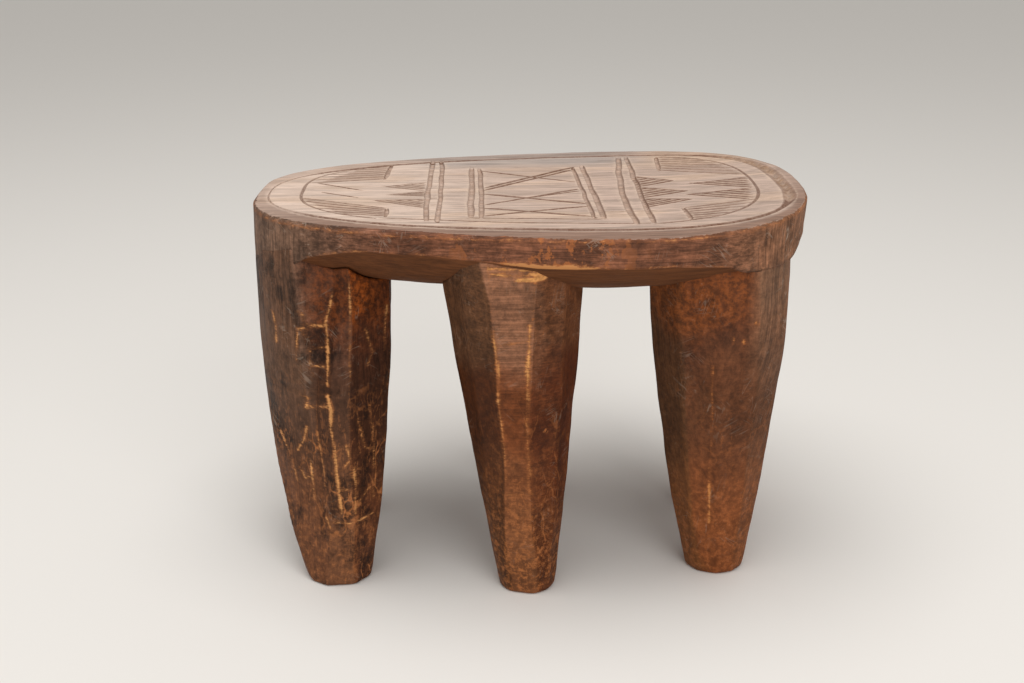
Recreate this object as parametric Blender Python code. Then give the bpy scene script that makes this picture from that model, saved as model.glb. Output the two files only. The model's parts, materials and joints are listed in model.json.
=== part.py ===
"""A carved wooden stool: an egg-shaped seat on six faceted legs.

The real stool is cut from one block of wood. Its legs are what the passages
between them leave standing, so the passages are the driving sizes here.
Metres, +Z up, +X towards the broad end, the front row of legs at -Y,
origin on the floor under the middle of the seat.
"""

import math

import bmesh
import bpy

# Seat outline and top
SEAT_LENGTH = 0.420
SEAT_DEPTH = 0.294          # across the middle
SEAT_TAPER = 0.205          # share by which the right end is deeper and the left end shallower
LEFT_OUTLINE_EXPONENT = 3.0     # exponents of the rounded outline: 2 is an ellipse, more is squarer
RIGHT_OUTLINE_EXPONENT = 2.5
SEAT_HEIGHT = 0.288         # floor to the level middle of the top
LEVEL_HALF_LENGTH = 0.046   # the top is level this far each way, then rises to the ends
LEFT_END_RISE = 0.0010
RIGHT_END_RISE = 0.0066
EDGE_DROP = 0.0010          # the worn top edge lies this much below the carved field
EDGE_WEAR = 0.0060          # width of that worn edge

# Border groove that frames the carved field
BAND_AT_SIDES = 0.022       # plain band between the edge and the groove
BAND_AT_ENDS = 0.0085
GROOVE_WIDTH = 0.0034
GROOVE_DEPTH = 0.0018
GROOVE_FLOOR_SHARE = 0.4    # flat part of the groove's width

# Carved field. Places are shares of the half length (x) and of the half depth (y)
BAR_WIDTH = 0.0052
LINE_WIDTH = 0.0034
CARVING_DEPTH = 0.0017
BAR_FLOOR_SHARE = 0.70      # flat part of a bar's width; a line is a V
LINE_FLOOR_SHARE = 0.15
CUT_CLEARANCE = 0.0020      # how far the carving cutters stand above the top
BARS = [                    # upright bars across the seat, from the back to the front
    [(-0.367, 0.789), (-0.367, -0.633)],
    [(-0.333, 0.782), (-0.329, -0.660)],
    [(-0.214, 0.592), (-0.214, -0.578)],
    [(-0.181, 0.558), (-0.181, -0.599)],
    [(0.190, 0.558), (0.210, -0.612)],
    [(0.229, 0.612), (0.238, -0.639)],
    [(0.390, 0.823), (0.343, -0.116), (0.348, -0.769)],
    [(0.424, 0.830), (0.405, -0.061), (0.400, -0.755)],
]
CROSSES = [                 # crossing lines between the two inner pairs of bars
    [(-0.171, 0.503), (0.181, 0.190)],
    [(-0.157, 0.075), (0.195, 0.578)],
    [(-0.162, 0.014), (0.186, 0.510)],
    [(-0.167, -0.075), (0.200, -0.327)],
    [(-0.162, -0.327), (0.186, 0.014)],
    [(-0.167, -0.395), (0.200, -0.599)],
    [(-0.167, -0.558), (0.200, -0.381)],
]
TRIANGLES = [               # hatched triangles: back corner, front corner, tip
    [(-0.386, 0.218), (-0.386, 0.020), (-0.533, 0.129)],
    [(-0.386, 0.000), (-0.381, -0.109), (-0.514, -0.068)],
    [(-0.381, -0.184), (-0.381, -0.367), (-0.562, -0.197)],
    [(0.410, 0.299), (0.410, 0.034), (0.552, 0.156)],
    [(0.410, 0.020), (0.405, -0.224), (0.581, -0.102)],
    [(0.410, -0.245), (0.405, -0.429), (0.576, -0.293)],
    [(0.829, 0.136), (0.810, -0.102), (0.614, 0.068)],
    [(0.810, -0.122), (0.771, -0.361), (0.571, -0.184)],
]
TRIANGLE_HATCHES = 2
BLOCKS = [                  # hatched blocks: back and front end of their bar, then of their far side
    [(-0.529, 0.707), (-0.543, 0.327), (-0.610, 0.680), (-0.795, 0.224)],
    [(-0.510, -0.374), (-0.505, -0.537), (-0.838, -0.129), (-0.667, -0.476)],
    [(0.543, 0.796), (0.524, 0.442), (0.705, 0.701), (0.829, 0.204)],
    [(0.529, -0.469), (0.533, -0.721), (0.771, -0.361), (0.600, -0.667)],
]
BLOCK_HATCHES = 5
OVAL_AT_ENDS = 0.0345       # inset of the thin oval round the two end panels
OVAL_AT_SIDES = 0.029
OVAL_SHIFT = 0.007          # the oval lies this much towards the back
OVAL_ARCS = [(138, 222), (-52, 41)]     # degrees round the seat
OVAL_STEPS = 12

# Underside, scooped out to a thin rim
SEAT_THICKNESS = 0.049
RIM_LEFT = 0.0145           # rim thickness towards the left end and towards the right end
RIM_RIGHT = 0.0213
RIM_CHANGE_START = -0.075   # where along the seat the first gives way to the second
RIM_CHANGE_END = 0.0
RIM_AT_ENDS = 0.040         # the rim deepens over the end legs
LEFT_RIM_RUN = 0.094        # length over which it deepens at each end
RIGHT_RIM_RUN = 0.120
RIM_EXPONENT = 1.4
SCOOP_WIDTH = 0.060         # from the rim in to the full thickness
SCOOP_EXPONENT = 2.2        # more is steeper under the rim

# Legs: what is left between the passages
LEG_TOP_REACH = 0.012       # a leg runs this far up into the rim before the underside trims it
MIDDLE_LEG_OFFSET = -0.0155
MIDDLE_LEG_WIDTH = 0.099
LEFT_END_OVERHANG = 0.0015  # seat past the outer faces of the end legs
RIGHT_END_OVERHANG = 0.0210
FRONT_LEFT_PASSAGE = 0.0385     # between neighbouring legs of a row
FRONT_RIGHT_PASSAGE = 0.0535
BACK_LEFT_PASSAGE = 0.0470
BACK_RIGHT_PASSAGE = 0.0740
LEFT_CROSS_PASSAGE = 0.022      # between a front leg and the back leg opposite
MIDDLE_CROSS_PASSAGE = 0.098
RIGHT_CROSS_PASSAGE = 0.078
LEFT_OVERHANG = 0.0060          # rim past the legs' front and back faces
MIDDLE_OVERHANG = 0.0020
RIGHT_OVERHANG = 0.0070
FOOT_CHAMFER = 0.0030

# How each leg stands: foot width and depth, foot offset from the leg's top (along X, outward),
# swell of its sides, number of facets and their turn in degrees
LEG_STANCE = {
    "leg_front_left": (0.049, 0.049, 0.004, 0.0218, 2.05, 10, 18.0),
    "leg_front_middle": (0.043, 0.045, 0.0100, 0.001, 1.10, 8, 20.0),
    "leg_front_right": (0.0455, 0.047, 0.0055, -0.018, 1.70, 8, 28.0),
    "leg_back_left": (0.049, 0.048, -0.004, -0.007, 1.70, 9, 10.0),
    "leg_back_middle": (0.046, 0.046, 0.0195, -0.011, 1.10, 8, 22.5),
    "leg_back_right": (0.046, 0.046, 0.004, -0.035, 1.40, 8, 15.0),
}
STANCE_RINGS = 7            # rings of points up each leg

SPLIT_GAP = 0.0003          # between the solids that meet
SEAT_SEGMENTS = 96
CUTTER_MARGIN = 0.030       # how far the cutting solids reach past what they cut

WOOD_SEAT = (0.235, 0.135, 0.078)
WOOD_LEGS = (0.105, 0.047, 0.025)


def clear_scene():
    for thing in list(bpy.data.objects):
        bpy.data.objects.remove(thing, do_unlink=True)


def new_collection(name):
    made = bpy.data.collections.new(name)
    bpy.context.scene.collection.children.link(made)
    return made


def wood(name, colour):
    material = bpy.data.materials.new(name)
    material.use_nodes = True
    shader = material.node_tree.nodes["Principled BSDF"]
    shader.inputs["Base Color"].default_value = (*colour, 1.0)
    shader.inputs["Roughness"].default_value = 0.6
    shader.inputs["Metallic"].default_value = 0.0
    return material


def outline_point(angle, inset=0.0, share=1.0, side_inset=None):
    """Point at a polar angle of the egg-shaped outline, set in from the ends and sides and then scaled."""
    exponent = LEFT_OUTLINE_EXPONENT if math.cos(angle) < 0 else RIGHT_OUTLINE_EXPONENT
    along = abs(math.cos(angle)) / (SEAT_LENGTH / 2 - inset)
    across = abs(math.sin(angle)) / (SEAT_DEPTH / 2 - (inset if side_inset is None else side_inset))
    radius = (along**exponent + across**exponent) ** (-1 / exponent) * share
    x = radius * math.cos(angle)
    return x, radius * math.sin(angle) * taper_at(x)


def taper_at(x):
    return 1 + SEAT_TAPER * x / (SEAT_LENGTH / 2)


def half_depth_at(x):
    """Half the seat's depth at a distance along it."""
    exponent = LEFT_OUTLINE_EXPONENT if x < 0 else RIGHT_OUTLINE_EXPONENT
    share = 1 - (abs(x) / (SEAT_LENGTH / 2)) ** exponent
    return SEAT_DEPTH / 2 * share ** (1 / exponent) * taper_at(x)


def top_height(x):
    """The top is level in the middle and rises gently to both ends."""
    rise = LEFT_END_RISE if x < 0 else RIGHT_END_RISE
    run = max(0.0, abs(x) - LEVEL_HALF_LENGTH) / (SEAT_LENGTH / 2 - LEVEL_HALF_LENGTH)
    return SEAT_HEIGHT + rise * run**2


def rim_thickness(x):
    """The rim thickens left of the middle, and more over the end legs."""
    change = (x - RIM_CHANGE_START) / (RIM_CHANGE_END - RIM_CHANGE_START)
    side = RIM_LEFT + (RIM_RIGHT - RIM_LEFT) * min(1.0, max(0.0, change))
    end_run = LEFT_RIM_RUN if x < 0 else RIGHT_RIM_RUN
    run = max(0.0, abs(x) - (SEAT_LENGTH / 2 - end_run)) / end_run
    return side + (RIM_AT_ENDS - side) * run**RIM_EXPONENT


def underside_height(x, inset):
    """The underside falls steeply from the thin rim and levels out at the full thickness."""
    rim = rim_thickness(x)
    scoop = 1 - (1 - min(1.0, max(0.0, inset) / SCOOP_WIDTH)) ** SCOOP_EXPONENT
    return top_height(x) - rim - (SEAT_THICKNESS - rim) * scoop


def ringed_tube(name, sides, rings, place, collection, turn=0.0):
    """A capped tube with a number of rings, each point placed by a rule from its angle and ring."""
    shape = bmesh.new()
    bmesh.ops.create_cone(
        shape, cap_ends=True, segments=sides, radius1=1.0, radius2=1.0, depth=rings - 1
    )
    bmesh.ops.translate(shape, verts=shape.verts, vec=(0, 0, (rings - 1) / 2))
    for ring in range(1, rings - 1):
        everything = shape.verts[:] + shape.edges[:] + shape.faces[:]
        bmesh.ops.bisect_plane(
            shape, geom=everything, dist=1e-6, plane_co=(0, 0, ring), plane_no=(0, 0, 1)
        )
    for point in shape.verts:
        angle = math.atan2(point.co.y, point.co.x) + turn
        point.co = place(angle, round(point.co.z))
    if shape.calc_volume(signed=True) < 0:
        bmesh.ops.reverse_faces(shape, faces=shape.faces)
    # Four-sided faces are split alike everywhere, so that solids that share a surface keep an even gap
    quads = [face for face in shape.faces if len(face.verts) == 4]
    bmesh.ops.triangulate(shape, faces=quads, quad_method="SHORT_EDGE")
    mesh = bpy.data.meshes.new(name)
    shape.to_mesh(mesh)
    shape.free()
    made = bpy.data.objects.new(name, mesh)
    collection.objects.link(made)
    return made


def inner_rings():
    """Rings inside the scoop, as inset and share of the radius: the first bounds the level middle."""
    level = LEVEL_HALF_LENGTH / (SEAT_LENGTH / 2 - SCOOP_WIDTH)
    return [(SCOOP_WIDTH, level), (SCOOP_WIDTH, (1 + level) / 2)]


def underside_rings():
    """Rings of the underside, from the middle out to the rim."""
    scoop = [(SCOOP_WIDTH * share, 1.0) for share in (1.0, 0.72, 0.48, 0.28, 0.12, 0.0)]
    return inner_rings() + scoop


def make_seat(collection):
    below = underside_rings()

    # Each ring of the top: inset from the ends, inset from the sides, share of the radius, lift
    edge = [(0.0, 0.0, 1.0, -EDGE_DROP), (EDGE_WEAR, EDGE_WEAR, 1.0, 0.0)]
    wall = (1 - GROOVE_FLOOR_SHARE) / 2
    groove = [(0.0, 0.0), (wall, -GROOVE_DEPTH), (1 - wall, -GROOVE_DEPTH), (1.0, 0.0)]
    border = [
        (BAND_AT_ENDS + GROOVE_WIDTH * across, BAND_AT_SIDES + GROOVE_WIDTH * across, 1.0, lift)
        for across, lift in groove
    ]
    field = [(SCOOP_WIDTH, SCOOP_WIDTH, 1.0, 0.0)]
    field += [(inset, inset, share, 0.0) for inset, share in reversed(inner_rings())]
    above = edge + border + field

    def place(angle, ring):
        if ring < len(below):
            inset, share = below[ring]
            x, y = outline_point(angle, inset, share)
            return x, y, underside_height(x, inset)
        inset, side_inset, share, lift = above[ring - len(below)]
        x, y = outline_point(angle, inset, share, side_inset)
        return x, y, top_height(x) + lift

    return ringed_tube("seat", SEAT_SEGMENTS, len(below) + len(above), place, collection)


def field_point(place):
    """A place on the carved field, from its shares of the half length and the half depth."""
    return place[0] * SEAT_LENGTH / 2, place[1] * SEAT_DEPTH / 2


def between(start, end, share):
    return tuple(a + (b - a) * share for a, b in zip(start, end))


def carving_paths():
    """The carved lines as (path, is it a bar)."""
    paths = [([field_point(place) for place in bar], True) for bar in BARS]
    paths += [([field_point(place) for place in line], False) for line in CROSSES]
    for start, end in OVAL_ARCS:
        arc = []
        for step in range(OVAL_STEPS + 1):
            angle = math.radians(start + (end - start) * step / OVAL_STEPS)
            x, y = outline_point(angle, OVAL_AT_ENDS, side_inset=OVAL_AT_SIDES)
            arc.append((x, y + OVAL_SHIFT))
        paths.append((arc, False))
    for triangle in TRIANGLES:
        back, front, tip = (field_point(place) for place in triangle)
        paths += [([back, tip], False), ([front, tip], False)]
        for hatch in range(1, TRIANGLE_HATCHES + 1):
            share = hatch / (TRIANGLE_HATCHES + 1)
            paths.append(([between(tip, back, share), between(front, back, share)], False))
    for block in BLOCKS:
        bar_back, bar_front, side_back, side_front = (field_point(place) for place in block)
        paths.append(([bar_back, bar_front], True))
        for hatch in range(BLOCK_HATCHES):
            share = hatch / (BLOCK_HATCHES - 1)
            far_end = between(side_back, side_front, share)
            paths.append(([far_end, between(bar_back, bar_front, share)], False))
    return paths


def make_carving_cutter(name, path, is_bar, collection):
    """Cutter: a bar or a V that follows a path along the top."""
    half_width = (BAR_WIDTH if is_bar else LINE_WIDTH) / 2
    floor = BAR_FLOOR_SHARE if is_bar else LINE_FLOOR_SHARE
    section = [(1, CUT_CLEARANCE), (-1, CUT_CLEARANCE), (-floor, -CARVING_DEPTH), (floor, -CARVING_DEPTH)]

    def place(angle, ring):
        x, y = path[ring]
        before, after = path[max(0, ring - 1)], path[min(len(path) - 1, ring + 1)]
        length = math.dist(before, after)
        across = ((before[1] - after[1]) / length, (after[0] - before[0]) / length)
        side, lift = section[round(angle / (math.pi / 2)) % len(section)]
        reach = half_width * side
        return x + across[0] * reach, y + across[1] * reach, top_height(x) + lift

    return ringed_tube(name, len(section), len(path), place, collection)


def carve_field(seat, collection):
    for number, (path, is_bar) in enumerate(carving_paths()):
        make_carving_cutter(f"carving_{number:02d}", path, is_bar, collection)
    cut = seat.modifiers.new("carving", "BOOLEAN")
    cut.operand_type = "COLLECTION"
    cut.collection = collection
    cut.operation = "DIFFERENCE"
    cut.solver = "EXACT"


def make_seat_room(collection):
    """Cutter: everything above the underside, which trims the legs to it."""
    below = underside_rings()

    def place(angle, ring):
        if ring < len(below):
            inset, share = below[ring]
            x, y = outline_point(angle, inset, share)
            return x, y, underside_height(x, inset) - SPLIT_GAP
        x, y = outline_point(angle, -CUTTER_MARGIN)
        rim_x = outline_point(angle)[0]
        heights = (underside_height(rim_x, 0.0) - SPLIT_GAP, SEAT_HEIGHT + CUTTER_MARGIN)
        return x, y, heights[ring - len(below)]

    return ringed_tube("seat_room", SEAT_SEGMENTS, len(below) + 2, place, collection)


def make_block(collection):
    """Cutter: the upright block that the legs may not stand out of."""

    def place(angle, ring):
        x, y = outline_point(angle)
        return x, y, (-CUTTER_MARGIN, SEAT_HEIGHT + CUTTER_MARGIN)[ring]

    return ringed_tube("block", SEAT_SEGMENTS, 2, place, collection)


def leg_top(name):
    """Centre and half sizes of a leg at its top, from the passages round it."""
    back = "back" in name
    middle_left = MIDDLE_LEG_OFFSET - MIDDLE_LEG_WIDTH / 2
    middle_right = MIDDLE_LEG_OFFSET + MIDDLE_LEG_WIDTH / 2
    if name.endswith("left"):
        low = -SEAT_LENGTH / 2 + LEFT_END_OVERHANG
        high = middle_left - (BACK_LEFT_PASSAGE if back else FRONT_LEFT_PASSAGE)
        cross, overhang = LEFT_CROSS_PASSAGE, LEFT_OVERHANG
    elif name.endswith("right"):
        low = middle_right + (BACK_RIGHT_PASSAGE if back else FRONT_RIGHT_PASSAGE)
        high = SEAT_LENGTH / 2 - RIGHT_END_OVERHANG
        cross, overhang = RIGHT_CROSS_PASSAGE, RIGHT_OVERHANG
    else:
        low, high = middle_left, middle_right
        cross, overhang = MIDDLE_CROSS_PASSAGE, MIDDLE_OVERHANG
    x = (low + high) / 2
    outer = half_depth_at(x) - overhang
    inner = cross / 2
    side = 1 if back else -1
    return x, side * (outer + inner) / 2, (high - low) / 2, (outer - inner) / 2


def make_leg(name, collection, cutters):
    x, y, half_width, half_depth = leg_top(name)
    foot_width, foot_depth, lean_x, lean_out, swell, facets, turn = LEG_STANCE[name]
    lean_y = lean_out if y > 0 else -lean_out
    rim = rim_thickness(x)
    full_height = top_height(x) - rim
    flat = math.cos(math.pi / facets)
    last = STANCE_RINGS + 1

    def place(angle, ring):
        if ring == last:
            height = full_height + LEG_TOP_REACH
        elif ring == 0:
            height = 0.0
        else:
            height = FOOT_CHAMFER + (full_height - FOOT_CHAMFER) * (ring - 1) / (STANCE_RINGS - 1)
        share = min(1.0, height / full_height)
        grown = 1 - (1 - share) ** swell
        chamfer = FOOT_CHAMFER if ring == 0 else 0.0
        wide = foot_width / 2 + (half_width - foot_width / 2) * grown - chamfer
        deep = foot_depth / 2 + (half_depth - foot_depth / 2) * grown - chamfer
        centre_x = x + lean_x * (1 - share)
        centre_y = y + lean_y * (1 - share)
        return (
            centre_x + wide / flat * math.cos(angle),
            centre_y + deep / flat * math.sin(angle),
            height,
        )

    leg = ringed_tube(name, facets, last + 1, place, collection, math.radians(turn))
    block, seat_room = cutters
    for cutter, operation in ((block, "INTERSECT"), (seat_room, "DIFFERENCE")):
        cut = leg.modifiers.new(cutter.name, "BOOLEAN")
        cut.object = cutter
        cut.operation = operation
        cut.solver = "EXACT"
    return leg


def main():
    clear_scene()
    stool = new_collection("carved_stool")
    cutting = new_collection("cutters")
    carving = new_collection("carving_cutters")
    cutters = (make_block(cutting), make_seat_room(cutting))
    seat = make_seat(stool)
    carve_field(seat, carving)
    for cutter in cutting.objects[:] + carving.objects[:]:
        cutter.hide_render = True
        cutter.display_type = "WIRE"
    seat.data.materials.append(wood("seat_wood", WOOD_SEAT))
    for name in LEG_STANCE:
        leg = make_leg(name, stool, cutters)
        leg.data.materials.append(wood(name + "_wood", WOOD_LEGS))


main()
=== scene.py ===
import json
import math

import bmesh
import bpy
import numpy as np
from mathutils import Matrix, Vector, geometry, kdtree


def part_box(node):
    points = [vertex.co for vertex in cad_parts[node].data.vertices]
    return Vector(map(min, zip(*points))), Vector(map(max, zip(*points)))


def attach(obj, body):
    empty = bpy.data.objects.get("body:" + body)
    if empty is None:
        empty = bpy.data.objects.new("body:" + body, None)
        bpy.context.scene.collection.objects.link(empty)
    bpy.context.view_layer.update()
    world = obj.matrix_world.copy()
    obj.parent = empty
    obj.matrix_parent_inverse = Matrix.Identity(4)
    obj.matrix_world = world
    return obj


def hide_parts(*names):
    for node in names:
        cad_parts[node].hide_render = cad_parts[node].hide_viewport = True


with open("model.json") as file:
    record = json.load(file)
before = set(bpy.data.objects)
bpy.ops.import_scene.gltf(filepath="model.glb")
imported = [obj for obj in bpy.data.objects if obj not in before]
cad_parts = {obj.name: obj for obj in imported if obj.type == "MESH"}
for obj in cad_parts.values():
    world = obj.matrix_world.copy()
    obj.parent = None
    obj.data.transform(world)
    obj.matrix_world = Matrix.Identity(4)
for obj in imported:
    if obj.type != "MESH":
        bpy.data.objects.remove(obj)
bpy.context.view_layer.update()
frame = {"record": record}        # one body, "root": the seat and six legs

mm = 0.001
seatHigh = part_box("seat")[1]

# Seat: the same egg-shaped block as the solid, metres. Pairs hold for its left and its right half.
seat = {
    "half": (seatHigh.x, 0.147),           # half length, and half depth at the middle
    "taper": 0.205,                        # broad right end, narrow left end
    "powers": (3.0, 2.5),
    "height": frame["record"]["mounts"][0]["pos_m"][2],
    "levelHalf": 0.046,                    # level over the middle, rising to both ends
    "rises": (0.0010, 0.0066),
    "thickness": 0.049,
    "rims": (0.0145, 0.0213),              # rim thickness beside its change, and over the end legs
    "rimChange": (-0.075, 0.0),
    "rimEnd": 0.040,
    "rimRuns": (0.094, 0.120),
    "rimPower": 1.4,
    "rimWobble": 0.0007,
    "thinEnd": (0.168, 0.198, 0.028),      # from x to x it thins to this round the broad end
    "scoopWidth": 0.060,
    "scoopPower": 2.2,
    "leans": [(-1, 0.135, 0.190, -0.0006), (1, 0.150, 0.200, 0.0015)],      # side, from x, to x, how far in
    "flush": [(152, 172), (188, 212), (321, 336)],      # degrees where the side runs straight into a leg
    "flushSoft": 6,
    "flushSpread": 0.0011,                 # there the underside spreads out this far
    "tuck": 0.0050,                        # there the side runs on this far behind the leg
    "edgeDrop": 0.0010,
    "edgeRun": 0.007,
    "edgeRound": 0.0016,
    "edgeWobble": 0.0006,
    "edgeRings": (0.0034, 0.0060),         # rings of points on the top, beside its edge
    "fillInset": 0.0075,                   # even spots start this far in
    "lowerTrim": 0.0030,                   # height left to the side's two rounded edges
    "lowerRound": 0.0012,
    "meanRadius": 0.18,
    "bareWedge": (0.008, 0.028),           # rubbed wood over the middle leg: x and half width
    "creep": (0.8, 2.0),                   # mm that the dark skin creeps over the edge, back and front
    "creepCorner": (8.5, -108, 60),        # and more at the front left: how much, x and half width, mm
    "loopPoints": 420,
    "seamPoints": 12,
    "sideRings": 11,
    "scoopRings": 18,
    "topSpacing": 0.0031,
    "underSpacing": 0.0060,
    "seed": 11,
}


def smooth(value, low, high):
    t = np.clip((value - low) / (high - low), 0, 1)
    return t * t * (3 - 2 * t)


def swelling(value, start, full, fade, end):      # rises from start to full, falls from fade to end
    return smooth(value, start, full) * (1 - smooth(value, fade, end))


def waver(rng, count, step):      # a smooth random run of values between -1 and 1
    knots = rng.uniform(-1, 1, max(3, int(count / step) + 3))
    at = np.linspace(0, len(knots) - 1.001, count)
    low = at.astype(int)
    t = smooth(at - low, 0, 1)
    return knots[low] * (1 - t) + knots[low + 1] * t


def window(angle, start, end, soft):      # 1 between two angles in degrees, fading outside them
    middle, half = (start + end) / 2, (end - start) / 2
    away = np.abs((np.degrees(angle) - middle + 180) % 360 - 180)
    return 1 - smooth(away, half, half + soft)


def ovalRadius(angle, oval, inset=0.0):
    c, s = np.cos(angle), np.sin(angle)
    power = np.where(c < 0, *oval["powers"])
    along, across = np.abs(c) / (oval["half"][0] - inset), np.abs(s) / (oval["half"][1] - inset)
    return (along**power + across**power) ** (-1 / power)


def ovalPoints(angle, oval, inset=0.0):      # an egg shape: an oval that widens to its right end
    radius = ovalRadius(angle, oval, inset)
    x = radius * np.cos(angle)
    return np.stack([x, radius * np.sin(angle) * (1 + oval["taper"] * x / (oval["half"][0] - inset))], -1)


def levelled(points, oval):      # x, and y without the egg shape's widening
    x = points[..., 0]
    return x, points[..., 1] / (1 + oval["taper"] * x / oval["half"][0])


def ovalAngle(points, oval):
    x, y = levelled(points, oval)
    return np.arctan2(y, x)


def insetOf(points):      # how far a point lies inside the seat's outline, along its radius
    return ovalRadius(ovalAngle(points, seat), seat) - np.hypot(*levelled(points, seat))


def topHeight(x):
    rise = np.where(x < 0, *seat["rises"])
    run = np.maximum(0, np.abs(x) - seat["levelHalf"]) / (seat["half"][0] - seat["levelHalf"])
    return seat["height"] + rise * run**2


def rimThickness(x):
    (left, right), (low, high) = seat["rims"], seat["rimChange"]
    side = left + (right - left) * np.clip((x - low) / (high - low), 0, 1)
    run = np.where(x < 0, *seat["rimRuns"])
    t = np.clip((np.abs(x) - seat["half"][0] + run) / run, 0, 1)
    rim = side + (seat["rimEnd"] - side) * t ** seat["rimPower"]
    start, end, thin = seat["thinEnd"]
    return rim + (thin - rim) * smooth(x, start, end)


def undersideHeight(x, inset):
    rim = rimThickness(x)
    scoop = 1 - (1 - np.clip(inset / seat["scoopWidth"], 0, 1)) ** seat["scoopPower"]
    return topHeight(x) - rim - (seat["thickness"] - rim) * scoop


def leanAt(x):      # how far the side leans in at its lower edge
    return sum(amount * smooth(side * x, start, end) for side, start, end, amount in seat["leans"])


# Carved field on the top, millimetres from the middle of the seat: x to the broad end, y to the back
field = {
    "border": {"half": (198, 123.5), "taper": 0.170, "powers": (2.5, 3.0), "shift": (-2, 0),
               "width": 4.6, "depth": 2.0, "endWidth": 10.0},      # it widens to a trough round the broad end
    "oval": {"half": (175.5, 118), "taper": 0.175, "powers": (2.85, 2.65), "shift": (0, 7),
             "width": 3.0, "depth": 1.5, "slim": 0.15, "dark": 0.72},      # slimmer across the grain
    # the oval runs round both end panels and stops at the bars: from, by, to, points on each run
    "ovalRuns": [
        ((-112, 98), (-175, 0), (-109, -82), (30, 30)),
        ((84, -110), (175, 0), (116, 118), (34, 30)),
    ],
    # bars: far end, middle, near end, width
    "bars": [
        ((-77, 116), (-78, 10), (-77, -93), 4.4),
        ((-69.5, 115), (-68, 12), (-68.5, -97), 4.0),
        ((-43.5, 87), (-44.5, 0), (-45, -85), 4.8),
        ((-37.5, 82), (-36.5, 0), (-37.5, -88), 4.0),
        ((40, 82), (42, -8), (44, -90), 3.2),
        ((48, 90), (49.5, 0), (50.5, -94), 4.4),
        ((82, 121), (72, -17), (73, -113), 5.0),
        ((89, 122), (85.5, -9), (84.5, -111), 4.2),
    ],
    "barDepth": 1.8,
    "barWander": 0.55,
    # crosses between the inner bars: two ends, width, depth
    "crosses": [
        ((-36, 74), (38, 28), 3.2, 1.2),
        ((-33, 11), (41, 85), 4.2, 1.9),
        ((-34, 2), (39, 75), 3.6, 1.7),
        ((-35, -11), (42, -48), 4.4, 1.8),
        ((-34, -48), (39, 2), 3.4, 1.5),
        ((0, -26), (39, -5), 2.8, 1.4),
        ((-35, -58), (42, -88), 3.8, 1.6),
        ((-35, -82), (42, -56), 3.6, 1.5),
    ],
    # hatched triangles: far base corner, near base corner, tip
    "triangles": [
        ((-81, 32), (-81, 3), (-112, 19)),
        ((-81, 0), (-80, -16), (-108, -10)),
        ((-80, -27), (-80, -54), (-118, -29)),
        ((86, 44), (86, 5), (116, 23)),
        ((86, 3), (85, -33), (122, -15)),
        ((86, -36), (85, -63), (121, -43)),
        ((174, 20), (170, -15), (129, 10)),
        ((170, -18), (162, -53), (120, -27)),
    ],
    "triangleLines": 5,
    "triangleDark": (0.72, 1.0),      # left and right
    "hatchWidth": 2.6,
    "hatchDepth": 1.4,
    # hatched blocks against the oval: far and near point on it, far and near end of the closing bar, lines
    "blocks": [
        ((-128, 100), (-167, 33), (-111, 104), (-114, 48), 8),
        ((-176, -19), (-140, -70), (-107, -55), (-106, -79), 6),
        ((148, 103), (174, 30), (114, 117), (110, 65), 7),
        ((162, -53), (126, -98), (111, -69), (112, -106), 7),
    ],
    "blockBarWidth": 3.8,
    "blockDark": (0.78, 0.68),
    "blockTint": (1.35, 0.8),
    # loose single lines: two ends, width
    "lines": [
        ((-166, 33), (-130, 6), 2.6),
        ((-160, 0), (-133, -18), 2.6),
        ((-109, -85), (-20, -103), 2.2),
        ((-20, -103), (84, -112), 2.2),
        ((-46, -88), (50, -97), 2.5),
        ((-75, -24), (-71, -24), 2.2),
        ((-75, -46), (-71, -46), 2.2),
        ((52, -73), (90, -76), 1.1),
    ],
    "lineDepth": 1.2,
    "spacing": 2.2,
    "wander": 0.35,
    # rows of points along a cut, as shares of its half width
    "channelRows": (-1.2, -1, -0.85, -0.68, 0, 0.68, 0.85, 1, 1.2),
    "grooveRows": (-1.25, -1, -0.7, 0, 0.7, 1, 1.25),
}
carvedLines = []      # each is a path with a width along it
lineRandom = np.random.default_rng(seat["seed"])


def acrossOf(path, closed=False):      # unit vectors square to a path
    ahead = np.roll(path, -1, 0) - np.roll(path, 1, 0) if closed else np.gradient(path, axis=0)
    return np.stack([-ahead[:, 1], ahead[:, 0]], 1) / np.hypot(*ahead.T)[:, None]


def carve(points, width, depth, channel=False, closed=False, wander=field["wander"], ends=0.45, slim=0.0,
          dark=1.0):
    path = np.array(points, float)
    if not closed:
        along = np.concatenate([[0], np.cumsum(np.hypot(*np.diff(path, axis=0).T))])
        length = along[-1]
        count = max(4, int(length / field["spacing"]) + 1)
        at = np.linspace(0, length, count)
        if len(path) == 3:      # a bowed bar: a parabola through its middle
            start, middle, end = path
            t = (at / length)[:, None]
            path = start + (end - start) * t + 4 * t * (1 - t) * (middle - (start + end) / 2)
        else:
            path = np.stack([np.interp(at, along, path[:, k]) for k in (0, 1)], 1)
        across = acrossOf(path)
        path = path + across * (waver(lineRandom, count, 13) * wander)[:, None]
        taper = ends + (1 - ends) * np.minimum(1, np.minimum(at, length - at) / (1.5 * width))
        width = width * (1 + 0.12 * waver(lineRandom, count, 16)) * taper * (1 - slim * np.abs(across[:, 0]))
    carvedLines.append({
        "path": path, "width": np.broadcast_to(width, len(path)), "dark": np.broadcast_to(dark, len(path)),
        "depth": depth, "channel": channel, "closed": closed,
    })


def ovalRun(oval, start, end, count):      # points along an oval from beside one point to beside another
    a, b = ovalAngle(np.array([start, end], float) - oval["shift"], oval)
    b += 2 * np.pi * round((a - b) / (2 * np.pi))
    return ovalPoints(np.linspace(a, b, count), oval) + oval["shift"]


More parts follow.
